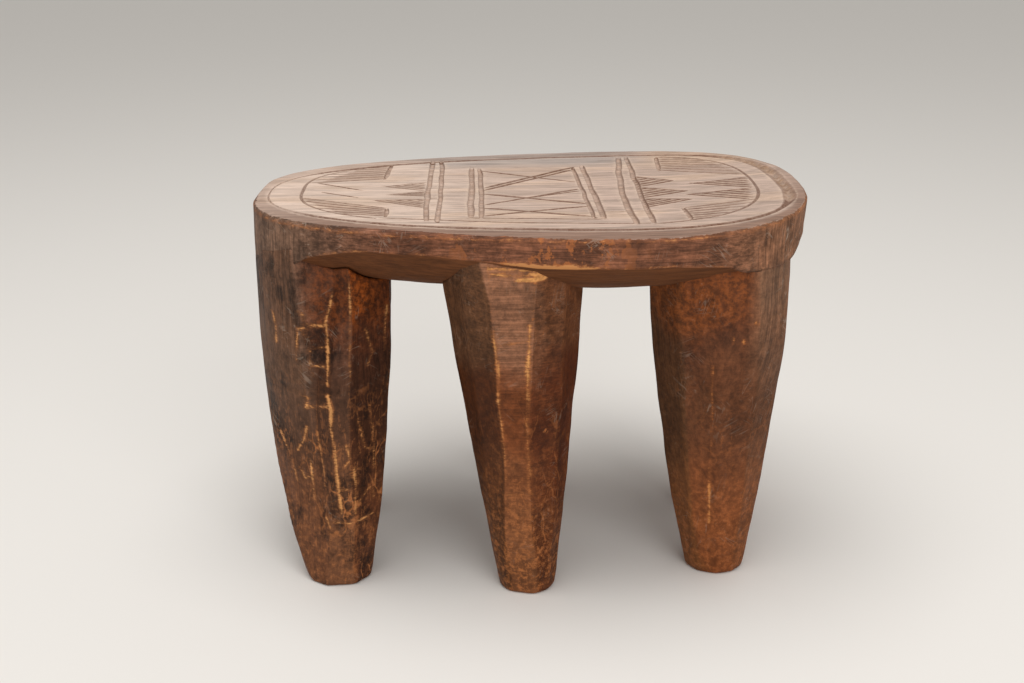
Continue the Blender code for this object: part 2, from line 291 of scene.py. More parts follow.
def planCarving():
    border, oval = field["border"], field["oval"]
    angle = np.linspace(0, 2 * np.pi, seat["loopPoints"], endpoint=False)
    loop = ovalPoints(angle, border) + border["shift"]
    width = border["width"] * (0.42 + 0.58 * np.abs(acrossOf(loop, True)[:, 1]))      # slim across the grain
    width = width * (1 + 0.35 * smooth(-np.sin(angle), 0.3, 0.8))      # broader along the front
    width = width + (border["endWidth"] - width) * smooth(np.cos(angle - 0.12), 0.86, 0.95)
    width = width * (1 + 0.15 * waver(lineRandom, len(angle), 9))
    faint = smooth(-np.cos(angle), 0.86, 0.97)      # hardly cut at the narrow end
    carve(loop, width * (1 - 0.3 * faint), border["depth"], closed=True, dark=1 - 0.72 * faint)
    for start, middle, end, (first, second) in field["ovalRuns"]:
        run = np.vstack([ovalRun(oval, start, middle, first), ovalRun(oval, middle, end, second)[1:]])
        carve(run, oval["width"], oval["depth"], slim=oval["slim"], dark=oval["dark"])
    for far, middle, near, wide in field["bars"]:
        carve((far, middle, near), wide, field["barDepth"], True, wander=field["barWander"], ends=0.75)
    for start, end, wide, deep in field["crosses"]:
        carve((start, end), wide, deep)
    for start, end, wide in field["lines"]:
        carve((start, end), wide, field["lineDepth"])

    def hatch(start, end, darks):
        dark = darks[0 if end[0] < 0 else 1]
        carve((start, end), field["hatchWidth"], field["hatchDepth"], dark=dark)

    lines = field["triangleLines"]
    for corners in field["triangles"]:
        far, near, tip = np.array(corners, float)
        hatch(far, tip, field["triangleDark"])
        hatch(near, tip, field["triangleDark"])
        for k in range(1, lines):
            share = k / lines
            hatch(tip + (far - tip) * share, near + (far - near) * share, field["triangleDark"])
    for farArc, nearArc, farEnd, nearEnd, lines in field["blocks"]:
        farEnd, nearEnd = np.array(farEnd, float), np.array(nearEnd, float)
        carve((farEnd, nearEnd), field["blockBarWidth"], field["hatchDepth"], True)
        for k, start in enumerate(ovalRun(oval, farArc, nearArc, lines)):
            end = farEnd + (nearEnd - farEnd) * (k / (lines - 1))
            hatch(start + (end - start) * 0.02, end, field["blockDark"])


def carvedDepth(points):      # the carving's depth in mm, and masks for its dark cuts, floors and raised lips; channels and wide troughs get painted shade on one wall, and the pale lips are worn edges with a painted highlight
    deep = np.zeros(len(points))
    masks = {label: np.zeros(len(points)) for label in ("cut", "floor", "lip")}
    for line in carvedLines:
        path, width, dark = line["path"], line["width"], line["dark"]
        if line["closed"]:
            path, width, dark = (np.concatenate([run, run[:1]]) for run in (path, width, dark))
        reach = width.max()
        near = np.where(((points > path.min(0) - reach) & (points < path.max(0) + reach)).all(1))[0]
        best, half = np.full(len(near), 9e9), np.ones(len(near))
        shade, turn = np.ones(len(near)), np.zeros(len(near))
        for s, d, w0, w1, here in zip(path, np.diff(path, axis=0), width, width[1:], dark):
            length = (d**2).sum()
            close = np.where(np.abs(points[near] - (s + d / 2)).max(1) < math.sqrt(length) + reach)[0]
            gap = points[near[close]] - s
            t = np.clip((gap @ d) / length, 0, 1)
            away = np.hypot(*(gap - t[:, None] * d).T)
            closer = away < best[close]
            won = close[closer]
            best[won] = away[closer]
            half[won] = ((w0 + (w1 - w0) * t) / 2)[closer]
            shade[won] = here
            turn[won] = (d[0] * gap[:, 1] - d[1] * gap[:, 0])[closer]
        ratio = best / half
        if line["channel"]:
            profile = 1 - smooth(ratio, 0.68, 1.0)
            shaded = np.where(turn > 0, 0.72, 0.25)      # one wall lies in shade
            cut = shaded * swelling(ratio, 0.60, 0.84, 0.90, 1.15)
            floor = 1 - smooth(ratio, 0.66, 0.90)
            # pale lips: worn edges with a painted highlight
            lip = swelling(ratio, 1.0, 1.2, 1.3, 1.9)
        else:
            profile = 1 - smooth(ratio, 0.0, 1.0)
            wide = smooth(half, 3.7, 4.5)      # a wide trough is worn, dark only along its edges, with painted shade darkest on the inner edge
            inner = np.where(turn > 0, 0.95, 0.35)
            edges = inner * swelling(ratio, 0.60, 0.9, 0.95, 1.1)
            cut = shade * ((1 - smooth(ratio, 0.84, 1.20)) * (1 - wide) + wide * edges)
            floor = wide * (1 - smooth(ratio, 0.7, 1.05))
            # pale lips: worn edges with a painted highlight, stronger along a wide trough's inner side
            lip = swelling(ratio, 1.0, 1.15, 1.15, 1.4) * (1 + wide * inner)
        deep[near] = np.maximum(deep[near], line["depth"] * profile)
        for label, numbers in (("cut", cut), ("floor", floor), ("lip", lip)):
            masks[label][near] = np.maximum(masks[label][near], numbers)
    return deep, masks


def hatchedParts(points):      # 1 inside the hatched triangles, another tint inside the blocks
    inside = np.zeros(len(points))
    shapes = [(corners, 1.0) for corners in field["triangles"]]
    for farArc, nearArc, farEnd, nearEnd, _ in field["blocks"]:
        tint = field["blockTint"][0 if farEnd[0] < 0 else 1]
        shapes += [((farArc, nearArc, nearEnd), tint), ((farArc, nearEnd, farEnd), tint)]
    for corners, tint in shapes:
        sides = [np.sign((qx - px) * (points[:, 1] - py) - (qy - py) * (points[:, 0] - px))
                 for (px, py), (qx, qy) in zip(corners, corners[1:] + corners[:1])]
        inside[np.abs(sum(sides)) == 3] = tint
    return inside * (0.8 + 0.2 * smooth(points[:, 0], -80, 60))      # less to the narrow end


def staggered(low, high, step):      # even rows of spots, every second row half a step along
    for row, y in enumerate(np.arange(low[1], high[1], step * 0.87)):
        for x in np.arange(low[0] + (row % 2) * step / 2, high[0], step):
            yield np.array([x, y])


def triangulated(points, edges, count, margin):      # spots, triangles, and where the first points ended up
    flat = [Vector((float(x), float(y))) for x, y in points]
    spots, _, faces, sources = geometry.delaunay_2d_cdt(flat, edges, [], 1, margin)[:4]
    rim = {source: k for k, group in enumerate(sources) for source in group if source < count}
    return np.array([spot[:] for spot in spots]), faces, [rim[k] for k in range(count)]


def carvedTop(angles, loop):      # triangles of the top inside its edge loop, mm
    points, edges = [], []

    def chain(path, closed):
        first, count = len(points), len(path)
        points.extend(path)
        edges.extend((first + k, first + (k + 1) % count) for k in range(count if closed else count - 1))

    chain(loop / mm, True)
    for inset in seat["edgeRings"]:
        chain(ovalPoints(angles, seat, inset) / mm, True)
    for line in carvedLines:
        across = acrossOf(line["path"], line["closed"])
        for share in field["channelRows" if line["channel"] else "grooveRows"]:
            chain(line["path"] + across * (line["width"] / 2 * share)[:, None], line["closed"])
    taken = kdtree.KDTree(len(points))
    for k, (x, y) in enumerate(points):
        taken.insert((x, y, 0), k)
    taken.balance()
    rng = np.random.default_rng(seat["seed"] + 1)
    step = seat["topSpacing"] / mm
    corner = np.array([seat["half"][0], seatHigh.y + 0.005]) / mm
    for spot in staggered(-corner, corner, step):
        spot = spot + rng.uniform(-0.18, 0.18, 2) * step
        if insetOf(spot * mm) > seat["fillInset"] and taken.find((*spot, 0))[2] > step * 0.5:
            points.append(spot)
    return triangulated(points, edges, len(loop), 1e-4)


def fillLoop(loop, spacing):      # plain triangles inside a loop, metres
    points, count = list(loop), len(loop)
    low, high = loop.min(0), loop.max(0)
    middle = (low + high) / 2
    for spot in staggered(low, high, spacing):
        outward = (spot - middle) * (1 + spacing / np.hypot(*(spot - middle)) * 0.6) + middle
        if insetOf(outward) > seat["scoopWidth"]:
            points.append(spot)
    return triangulated(points, [(k, (k + 1) % count) for k in range(count)], count, 1e-6)


def quadsBetween(one, other):      # faces between two closed rings of point numbers
    return list(zip(one, np.roll(one, -1), np.roll(other, -1), other))


def newPiece(name, points, faces, values):
    mesh = bpy.data.meshes.new(name)
    mesh.from_pydata([tuple(p) for p in points], [], [tuple(f) for f in faces])
    shape = bmesh.new()
    shape.from_mesh(mesh)
    bmesh.ops.recalc_face_normals(shape, faces=shape.faces)
    shape.to_mesh(mesh)
    shape.free()
    for label, numbers in values.items():
        layer = mesh.attributes.new(label, "FLOAT", "POINT")
        layer.data.foreach_set("value", np.asarray(numbers, np.float32))
    mesh.shade_smooth()
    piece = bpy.data.objects.new(name, mesh)
    bpy.context.scene.collection.objects.link(piece)
    return piece


def topValues(spots, inset, away):      # what the seat's wood reads on the top: spots in mm, inset in metres
    border = field["border"]
    fromBorder = spots - border["shift"]
    around = ovalPoints(ovalAngle(fromBorder * mm, seat), border)
    front = smooth(-spots[:, 1], 40, 90)      # a pale strip, a painted highlight beside the border, stays inside the band along the front
    band = smooth(np.hypot(*fromBorder.T) - np.hypot(*around.T) - 2.5 * front, -0.5, 3.0 + 2.5 * front)
    (back, ahead), (more, cornerX, half) = seat["creep"], seat["creepCorner"]
    creep = np.where(spots[:, 1] < 0, ahead + more * np.exp(-(((spots[:, 0] - cornerX) / half) ** 2)), back)
    return {
        "hatch": hatchedParts(spots), "band": band, "skin": 1 - smooth(inset / mm, creep - 3.0, creep + 1.5),
        "top": np.ones(len(spots)), "edge": 0.6 * smooth(away, 0.55, 1.0),
        "markWeight": np.where(inset < 0.004, 0.5, 0.22),
    }


def buildSeat():
    rng = np.random.default_rng(seat["seed"] + 2)
    count, seam = seat["loopPoints"], seat["seamPoints"]
    angles = np.linspace(0, 2 * np.pi, count, endpoint=False)
    uneven = waver(rng, count, 7)
    uneven[-seam:] = np.linspace(uneven[-seam], uneven[0], seam)      # so that the loop closes without a step
    uneven *= seat["edgeWobble"]
    loop = ovalPoints(angles, seat, seat["edgeRound"]) * (1 + uneven / seat["meanRadius"])[:, None]
    spots, faces, rim = carvedTop(angles, loop)
    deep, masks = carvedDepth(spots)
    inset = insetOf(spots * mm)
    away = np.clip(1 - inset / seat["edgeRun"], 0, 1)
    z = topHeight(spots[:, 0] * mm) - deep * mm - seat["edgeDrop"] * away**2
    points = [np.column_stack([spots * mm, z])]
    values = {label: [numbers] for label, numbers in {**masks, **topValues(spots, inset, away)}.items()}
    total = len(spots)

    def addRing(xy, height, **given):
        nonlocal total
        points.append(np.column_stack([xy, height]))
        for label in values:
            values[label].append(np.broadcast_to(given.get(label, 0.0), len(xy)))
        total += len(xy)
        return np.arange(total - len(xy), total)

    # the side, from the top's edge down, tucked behind the legs where it runs into them
    outline = ovalPoints(angles, seat)
    outward = np.hypot(*outline.T)
    edgeX = outline[:, 0]
    leaning = leanAt(edgeX)
    joined = np.max([window(angles, start, end, seat["flushSoft"]) for start, end in seat["flush"]], 0)
    rimBottom = rimThickness(edgeX) + seat["rimWobble"] * waver(rng, count, 11)
    wedgeX, wedgeHalf = seat["bareWedge"]
    bareWedge = np.exp(-(((edgeX - wedgeX) / wedgeHalf) ** 4)) * (outline[:, 1] < 0)
    previous = np.array(rim)
    for k in range(seat["sideRings"] + 1):
        share = k / seat["sideRings"]
        drop = seat["edgeDrop"] + seat["edgeRound"] + share * (rimBottom - seat["lowerTrim"])
        drop = drop + seat["tuck"] * joined * smooth(share, 0.6, 1.0)
        outwards = uneven * (1 - share * joined) - leaning * smooth(share, 0.0, 0.8)
        worn = 0.62 * max(0.0, 1 - share * 6) + 0.6 * max(0.0, (share - 0.86) * 7) * (1 - joined)
        worn = worn + bareWedge * max(0.0, (share - 0.66) * 3.2)
        ring = addRing(outline * (1 + outwards / outward)[:, None], topHeight(edgeX) - drop,
                       edge=worn, markWeight=0.8 - 0.75 * joined * share)
        faces += quadsBetween(previous, ring)
        previous = ring
    # the scooped underside, from the rim in, and its level middle
    for share in np.linspace(0, 1, seat["scoopRings"]) ** 1.35:
        inset = seat["lowerRound"] + share * (seat["scoopWidth"] - seat["lowerRound"])
        loop = ovalPoints(angles, seat, inset)
        outwards = (uneven * (1 - joined) - leaning + seat["flushSpread"] * joined) * (1 - share)
        xy = loop * (1 + outwards / np.hypot(*loop.T))[:, None]
        ring = addRing(xy, undersideHeight(xy[:, 0], inset), top=-1.0, edge=max(0.0, 0.5 - share * 6),
                       markWeight=0.9 - 0.8 * joined * (1 - share))
        faces += quadsBetween(previous, ring)
        previous = ring
    spots, fill, rim = fillLoop(ovalPoints(angles, seat, seat["scoopWidth"]), seat["underSpacing"])
    extra = sorted(set(range(len(spots))) - set(rim))
    level = undersideHeight(spots[extra, 0], seat["scoopWidth"])
    ring = addRing(spots[extra], level, top=-1.0, markWeight=1.0)
    placed = {**dict(zip(rim, previous)), **dict(zip(extra, ring))}
    faces += [tuple(placed[k] for k in reversed(face)) for face in fill]
    print("seat:", total, "points,", len(carvedLines), "carved lines")
    values = {label: np.concatenate(numbers) for label, numbers in values.items()}
    return newPiece("carvedSeat", np.vstack(points), faces, values)


# Legs: top and foot centres and half sizes in metres
# ridges: angle in degrees, or its angles at top, middle and foot where it turns, and how far it is rubbed
# flush: degrees where the seat's side runs into the leg, and the heights it starts at, as shares
# recess: degrees where the leg's top is set back under the rim, and how far
# wear: rubbed lines on the front, each a strength and points (x, z) in mm
# gouges: x, z, half width, half height and depth in mm
legs = {
    "leg_front_left": {
        "top": (-0.1560, -0.0570), "topHalf": (0.0525, 0.0460),
        "foot": (-0.1520, -0.0766), "footHalf": (0.0243, 0.0243),
        "swell": 2.15, "bow": -0.0030, "corner": 1.040, "soft": 3, "seed": 21, "ragged": 0.17, "fine": True,
        "flush": (140, 236, 0.25, 0.75), "recess": (-95, -45, 0.019),
        "ridges": [(-172, 0.3), (-141, 0.3), (-112, 0.3), ((-67, -64, -58), 0.5), ((-20, -18, -16), 0.5),
                   (25, 0.3), (60, 0.3), (95, 0.3), (128, 0.3), (158, 0.3)],
        "wear": [
            (1.01, [(-146, 235), (-149, 222), (-152, 213), (-151, 202), (-151, 187), (-152, 167)]),
            (1.01, [(-152, 159), (-150, 148), (-151, 134), (-149, 120), (-148, 92), (-146, 63)]),
            (0.99, [(-172, 222), (-167, 218), (-166, 209), (-166, 198), (-165, 185), (-164, 172)]),
            (0.94, [(-172, 209), (-174, 196), (-175, 183)]),
            (0.99, [(-173, 208), (-166, 210), (-152, 210)]),
            (0.99, [(-166, 191), (-158, 193), (-150, 194)]),
            (0.90, [(-165, 179), (-151, 180)]),
            (0.80, [(-133, 247), (-133, 226), (-134, 208), (-135, 190), (-135, 171)]),
            (0.90, [(-123, 207), (-121, 198), (-119, 188), (-123, 179)]),
            (0.86, [(-108, 220), (-110, 201), (-111, 186)]),
            (0.94, [(-193, 216), (-191, 206), (-191, 193)]),
            (0.99, [(-173, 157), (-167, 155), (-170, 147), (-153, 150)]),
            (0.97, [(-170, 131), (-173, 119), (-179, 109)]),
            (0.97, [(-162, 128), (-160, 111), (-158, 95), (-158, 85)]),
            (0.99, [(-169, 104), (-168, 86), (-167, 72)]),
            (0.94, [(-176, 92), (-174, 87), (-168, 91)]),
            (1.01, [(-135, 100), (-135, 84), (-136, 63)]),
            (0.99, [(-148, 85), (-136, 83), (-124, 79)]),
            (0.94, [(-131, 139), (-129, 125), (-127, 114), (-122, 111)]),
            (0.97, [(-123, 148), (-121, 128), (-121, 107), (-122, 87), (-123, 70)]),
            (0.94, [(-134, 71), (-125, 80)]),
            (0.96, [(-193, 119), (-186, 104), (-183, 92), (-181, 82)]),
            (0.96, [(-152, 57), (-141, 55), (-124, 57)]),
            (0.91, [(-140, 120), (-138, 108), (-146, 98)]),
            (0.91, [(-158, 60), (-153, 46), (-150, 36)]),
        ],
        "gouges": [(-157, 192, 7, 3, 1.8), (-160, 160, 30, 2.0, 0.9), (-120, 155, 16, 2.0, 0.9),
                   (-131, 200, 5, 10, 1.2)],
    },
    "leg_front_middle": {
        "top": (-0.0155, -0.0970), "topHalf": (0.0490, 0.0465),
        "foot": (-0.0055, -0.0969), "footHalf": (0.0206, 0.0222),
        "swell": 1.10, "bow": 0.0, "corner": 1.045, "soft": 0, "seed": 22, "ragged": 0.10, "fine": True,
        "flush": None, "recess": None,
        "ridges": [((-168, -168, -172), 0.2), ((-137, -140, -160), 0.2), ((-112, -111, -134), 0.5),
                   ((-72, -85, -80), 0.5), (-44, 0.3), ((-12, -10, -10), 0.3), (35, 0.3), (68, 0.4),
                   (108, 0.4), (150, 0.3)],
        "wear": [
            (0.98, [(-31, 219), (-29, 206), (-27, 191), (-27, 176), (-27, 162)]),
            (0.82, [(-27, 162), (-25, 145), (-23, 121), (-22, 100)]),
            (0.94, [(-5, 223), (-5, 210), (-6, 195), (-6, 182), (-6, 165)]),
            (0.80, [(-6, 165), (-7, 146), (-6, 126), (-4, 104)]),
            (1.2, [(-5, 204), (-6, 197), (-7, 186)]),
            (0.80, [(-30, 208), (-17, 209), (-5, 211)]),
            (0.85, [(-21, 87), (-3, 88)]),
            (0.7, [(-20, 76), (-2, 75)]),
            (0.7, [(-2, 60), (-1, 24)]),
            (1.15, [(-33, 265), (-12, 264), (6, 263.5)]),
            (0.95, [(-31, 260.5), (-14, 260), (0, 260.5)]),
            (1.20, [(-14, 256.5), (-6, 257), (6, 257.5)]),
            (1.10, [(-4, 261), (8, 260.5)]),
        ],
        "gouges": [(-17, 206, 11, 1.0, 0.6), (-16, 160, 9, 38, 0.7)],
    },
    "leg_front_right": {
        "top": (0.1365, -0.0850), "topHalf": (0.0515, 0.0465),
        "foot": (0.1437, -0.0681), "footHalf": (0.0227, 0.0235),
        "swell": 1.60, "bow": 0.0, "corner": 1.040, "soft": 2, "seed": 23, "ragged": 0.14, "fine": True,
        "flush": (-66, -24, 0.50, 0.91), "recess": None,
        "ridges": [(-168, 0.2), (-131, 0.3), ((-98, -95, -92), 0.3), ((-64, -62, -60), 0.3), (-28, 0.3),
                   (10, 0.3), (52, 0.3), (95, 0.3), (140, 0.3)],
        "wear": [
            (0.80, [(128, 185), (129, 159), (131, 128), (131, 99)]),
            (1.0, [(131, 99), (133, 66), (134, 49)]),
            (1.15, [(157, 219), (159, 217)]),
            (1.05, [(141, 207), (142, 204)]),
            (0.95, [(149, 204), (150, 202)]),
            (0.62, [(138, 126), (139, 112)]),
        ],
        "gouges": [(112, 59, 6, 5, 1.6)],
    },
    "leg_back_left": {
        "top": (-0.1603, 0.0550), "topHalf": (0.0475, 0.0445),
        "foot": (-0.1643, 0.0465), "footHalf": (0.0240, 0.0235),
        "swell": 1.70, "bow": -0.0030, "corner": 1.045, "soft": 2, "seed": 24, "fine": False,
        "flush": (124, 220, 0.30, 0.80), "recess": (30, 106, 0.018),
        "ridges": [(-165, 0.4), (-130, 0.4), (-95, 0.4), (-60, 0.4), (-25, 0.4), (12, 0.5), (48, 0.7),
                   (82, 0.9), (116, 0.7), (152, 0.5)],
        "wear": [], "gouges": [],
    },
    "leg_back_middle": {
        "top": (-0.0155, 0.0950), "topHalf": (0.0490, 0.0455),
        "foot": (0.0040, 0.0849), "footHalf": (0.0222, 0.0228),
        "swell": 1.10, "bow": 0.0, "corner": 1.045, "soft": 0, "seed": 25, "fine": False,
        "flush": None, "recess": None,
        "ridges": [(-170, 0.3), (-128, 0.3), (-88, 0.3), (-48, 0.3), (-8, 0.3), (30, 0.4),
                   ((68, 74, 74), 0.9), ((108, 104, 110), 0.9), (148, 0.4)],
        "wear": [], "gouges": [],
    },
    "leg_back_right": {
        "top": (0.1485, 0.0835), "topHalf": (0.0405, 0.0455),
        "foot": (0.1525, 0.0487), "footHalf": (0.0228, 0.0228),
        "swell": 1.40, "bow": 0.0, "corner": 1.045, "soft": 2, "seed": 26, "fine": False,
        "flush": None, "recess": None,
        "ridges": [(-168, 0.3), (-128, 0.3), (-90, 0.3), (-52, 0.3), (-14, 0.3), (28, 0.4), (64, 0.7),
                   (102, 0.6), (146, 0.4)],
        "wear": [], "gouges": [],
    },
}
legBuild = {
    "columnWidth": (0.0026, 0.0017), "rows": (110, 156),      # plain and fine legs
    "footRows": (0, 0.002, 0.005, 0.009, 0.014), "firstRow": 0.02,      # heights as shares
    "middleRow": 0.45,      # where a ridge has its middle angle
    "footRound": 0.0030, "footSoft": 16, "embed": 0.0020, "inside": 0.0020,
    "recessSoft": 50, "flushSoft": 10, "crossing": 0.0002,
    "ridgeReach": 0.0030, "ridgeTurn": 1.2, "ridgeWobble": 0.008, "wearReach": 3.3,
    "capRings": (0.72, 0.40),
}


def distanceTo(path, points):      # from points to a run of straight pieces
    path = np.array(path, float)
    best = np.full(len(points), 9e9)
    for s, e in zip(path[:-1], path[1:]):
        d = e - s
        t = np.clip(((points - s) @ d) / (d @ d), 0, 1)
        best = np.minimum(best, np.hypot(*(points - s - t[:, None] * d).T))
    return best


def legColumns(spec, share, half, centre, rng):      # ridge lines first, then even columns across each facet
    ridges, rows = spec["ridges"], len(share)
    corners = []
    for turn, _ in ridges:
        angle = np.interp(share, (0, legBuild["middleRow"], 1), np.broadcast_to(turn, 3)[::-1])
        angle = np.radians(angle) + np.radians(legBuild["ridgeTurn"]) * waver(rng, rows, 26)
        reach = spec["corner"] * (1 + legBuild["ridgeWobble"] * waver(rng, rows, 24))
        corners.append(centre + half * reach[:, None] * np.stack([np.cos(angle), np.sin(angle)], 1))
    columns, wears = [], []
    for k, corner in enumerate(corners):
        following = (k + 1) % len(corners)
        distance = np.hypot(*(corners[following] - corner).T)
        count = max(5, round(distance[rows * 2 // 3] / legBuild["columnWidth"][spec["fine"]]))
        far = distance / legBuild["ridgeReach"]
        for t in np.arange(count) / count:
            columns.append(corner * (1 - t) + corners[following] * t)
            rubbed = np.maximum(ridges[k][1] * (1 - t * far), ridges[following][1] * (1 - (1 - t) * far))
            wears.append(np.maximum(0, rubbed))
    return np.stack(columns, 1), np.stack(wears, 1)


def neighbours(shape):      # the middle between a point's neighbours round the leg
    return (np.roll(shape, 1, 1) + np.roll(shape, -1, 1)) / 2


def shifted(shape, amount):      # points moved outwards from the middle of the seat
    return shape * (1 + amount / np.hypot(shape[..., 0], shape[..., 1]))[..., None]


def placedUnderSeat(spec, shape, rise, centre):      # the leg's top fitted to the rim and the underside
    around = np.arctan2(*(shape - centre).transpose(2, 0, 1)[::-1])
    # under the rim the leg is set back, except where the seat's side runs straight into it
    shape = shifted(shape, -np.maximum(0, legBuild["inside"] - insetOf(shape)))
    if spec["recess"]:
        start, end, inset = spec["recess"]
        back = np.maximum(0, inset - insetOf(shape)) * window(around, start, end, legBuild["recessSoft"])
        shape = shifted(shape, -back * smooth(rise, 0.55, 1.0))
    joined = np.zeros(shape.shape[:2])
    if spec["flush"]:
        start, end, low, high = spec["flush"]
        joined = window(around, start, end, legBuild["flushSoft"]) * smooth(rise, low, high)
        shape = shifted(shape, (insetOf(shape) - leanAt(shape[..., 0])) * joined)
    tucked = legBuild["embed"] + seat["tuck"] * joined[-1]
    underside = undersideHeight(shape[-1, :, 0], np.maximum(0, insetOf(shape[-1])))
    z = rise * (underside + tucked)[None, :]
    if spec["flush"]:      # the leg's face crosses the seat's side at a hair's angle, so that no step shows
        above = (z - underside) / seat["tuck"]
        shape = shifted(shape, -legBuild["crossing"] * np.clip(above, -1, 1.4) * joined)
    return shape, z, joined


def buildLeg(name, spec):
    rng = np.random.default_rng(spec["seed"])
    evenRows = np.linspace(legBuild["firstRow"], 1, legBuild["rows"][spec["fine"]])
    share = np.concatenate([legBuild["footRows"], evenRows])
    rows, rise = len(share), share[:, None]
    grown = 1 - (1 - rise) ** spec["swell"]
    half = np.array(spec["footHalf"]) + (np.array(spec["topHalf"]) - spec["footHalf"]) * grown
    middle = np.array(spec["foot"]) + (np.array(spec["top"]) - spec["foot"]) * rise
    middle[:, 0] += spec["bow"] * 4 * share * (1 - share)
    centre = middle[:, None, :]
    shape, wear = legColumns(spec, share, half, middle, rng)
    for _ in range(spec["soft"]):
        shape = 0.5 * shape + 0.5 * neighbours(shape)
    rounded = (1 - smooth(rise, 0.02, 0.20))[..., None]      # the feet are worn round
    for _ in range(legBuild["footSoft"]):
        shape = shape + 0.5 * rounded * (neighbours(shape) - shape)
    shape, z, joined = placedUnderSeat(spec, shape, rise, centre)
    # the foot's lower edge is rounded
    below = np.clip(1 - z / legBuild["footRound"], 0, 1)
    toMiddle = shape - centre
    shrink = legBuild["footRound"] * 0.8 * (1 - np.sqrt(1 - below**2))
    shape = centre + toMiddle * (1 - shrink / np.hypot(toMiddle[..., 0], toMiddle[..., 1]))[..., None]
    # rubbed lines and gouges on the front, seen straight on
    front = (shape[..., 1] < centre[..., 1]).reshape(-1)
    flat = np.stack([shape[..., 0], z], -1).reshape(-1, 2) / mm
    wear = wear.reshape(-1)
    run = np.arange(-220, 460, 8.0)      # mm along a slant, where a line's strength changes
    for strength, path in spec["wear"]:
        ragged = spec["ragged"] * rng.uniform(-1.6, 1.0, len(run))
        uneven = np.interp(flat[:, 1] + 0.7 * flat[:, 0], run, ragged)
        near = strength + uneven - distanceTo(path, flat) / legBuild["wearReach"]
        wear = np.where(front, np.maximum(wear, near), wear)
    for x, height, halfX, halfZ, depth in spec["gouges"]:
        dent = np.exp(-(((flat[:, 0] - x) / halfX) ** 4) - ((flat[:, 1] - height) / halfZ) ** 2)
        shape[..., 1] += (depth * mm * dent * front).reshape(shape.shape[:2])
    count = shape.shape[1]
    points = np.concatenate([shape, z[..., None]], 2).reshape(-1, 3)
    rings = np.arange(rows * count).reshape(rows, count)
    faces = [quad for low, high in zip(rings[:-1], rings[1:]) for quad in quadsBetween(low, high)]
    # foot and top caps: rings that shrink to a middle point
    for outer, foot in ((rings[0], True), (rings[-1], False)):
        previous, middle = outer, points[outer].mean(0)
        for scale in legBuild["capRings"]:
            ring = middle + (points[outer] - middle) * scale
            if not foot:
                inset = np.maximum(0, insetOf(ring[:, :2]))
                ring[:, 2] = undersideHeight(ring[:, 0], inset) + legBuild["embed"]
            new = np.arange(len(points), len(points) + count)
            points = np.vstack([points, ring])
            faces += quadsBetween(previous, new)
            previous = new
        points = np.vstack([points, points[previous].mean(0)])
        faces += [(a, b, len(points) - 1) for a, b in zip(previous, np.roll(previous, -1))]
    caps = np.zeros(len(points) - len(wear))
    joined = np.concatenate([joined.reshape(-1), caps])
    weight = smooth(points[:, 2], 0.001, 0.010) * (1 - 0.9 * joined)
    values = {"wear": np.concatenate([wear, caps]), "joined": joined, "markWeight": weight}
    return newPiece(name, points, faces, values)


# Node helpers: a socket is linked, anything else is set as the input's value
def addNode(tree, kind, inputs=None, **settings):
    made = tree.nodes.new(kind)
    for key, value in settings.items():
        setattr(made, key, value)
    for key, value in (inputs or {}).items():
        if isinstance(value, bpy.types.NodeSocket):
            tree.links.new(value, made.inputs[key])
        else:
            made.inputs[key].default_value = value
    return made


def calc(tree, operation, *values):
    return addNode(tree, "ShaderNodeMath", dict(enumerate(values)), operation=operation).outputs[0]


def times(tree, product, *others):
    for other in others:
        product = calc(tree, "MULTIPLY", product, other)
    return product


def nudged(tree, value, noise, amount, middle=0.5):      # a value moved up and down by noise
    return calc(tree, "ADD", value, times(tree, calc(tree, "SUBTRACT", noise, middle), amount))


def offMiddle(tree, value, middle=0.5):      # near 0 along the lines where a value crosses its middle
    return calc(tree, "ABSOLUTE", calc(tree, "SUBTRACT", value, middle))


def span(tree, value, low, high, toLow=0.0, toHigh=1.0):
    inputs = {"Value": value, "From Min": low, "From Max": high, "To Min": toLow, "To Max": toHigh}
    return addNode(tree, "ShaderNodeMapRange", inputs, interpolation_type="SMOOTHSTEP").outputs["Result"]


def blend(tree, factor, a, b, mode="MIX"):      # colours are sockets or (red, green, blue)
    first, second = ((*colour, 1) if isinstance(colour, tuple) else colour for colour in (a, b))
    inputs = {0: factor, 6: first, 7: second}
    return addNode(tree, "ShaderNodeMix", inputs, data_type="RGBA", blend_type=mode).outputs[2]


def painted(tree, under, colour, *masks):      # a colour laid over another where all the masks allow it
    return blend(tree, times(tree, *masks), under, colour)


def scaled(tree, colour, value):
    return addNode(tree, "ShaderNodeVectorMath", {0: colour, "Scale": value}, operation="SCALE").outputs[0]


def stretched(tree, vector, scale, shift=(0, 0, 0)):
    inputs = {"Vector": vector, "Scale": scale, "Location": shift}
    return addNode(tree, "ShaderNodeMapping", inputs).outputs["Vector"]


def cloud(tree, vector, scale, detail=3.0, rough=0.55, shift=(0, 0, 0), bend=0.0):
    if isinstance(scale, tuple):
        vector, scale = stretched(tree, vector, scale, shift), 1.0
    inputs = {"Vector": vector, "Scale": scale, "Detail": detail, "Roughness": rough, "Distortion": bend}
    return addNode(tree, "ShaderNodeTexNoise", inputs).outputs[0]


def newGroup(name, kind, inputs, outputs):      # sockets as names with their types
    tree = bpy.data.node_groups.new(name, kind)
    for direction, sockets in (("INPUT", inputs), ("OUTPUT", outputs)):
        for label, socketType in sockets.items():
            tree.interface.new_socket(label, in_out=direction, socket_type="NodeSocket" + socketType)
    return tree, tree.nodes.new("NodeGroupInput").outputs, tree.nodes.new("NodeGroupOutput").inputs


def useGroup(tree, group, inputs):
    return addNode(tree, "ShaderNodeGroup", inputs, node_tree=group).outputs


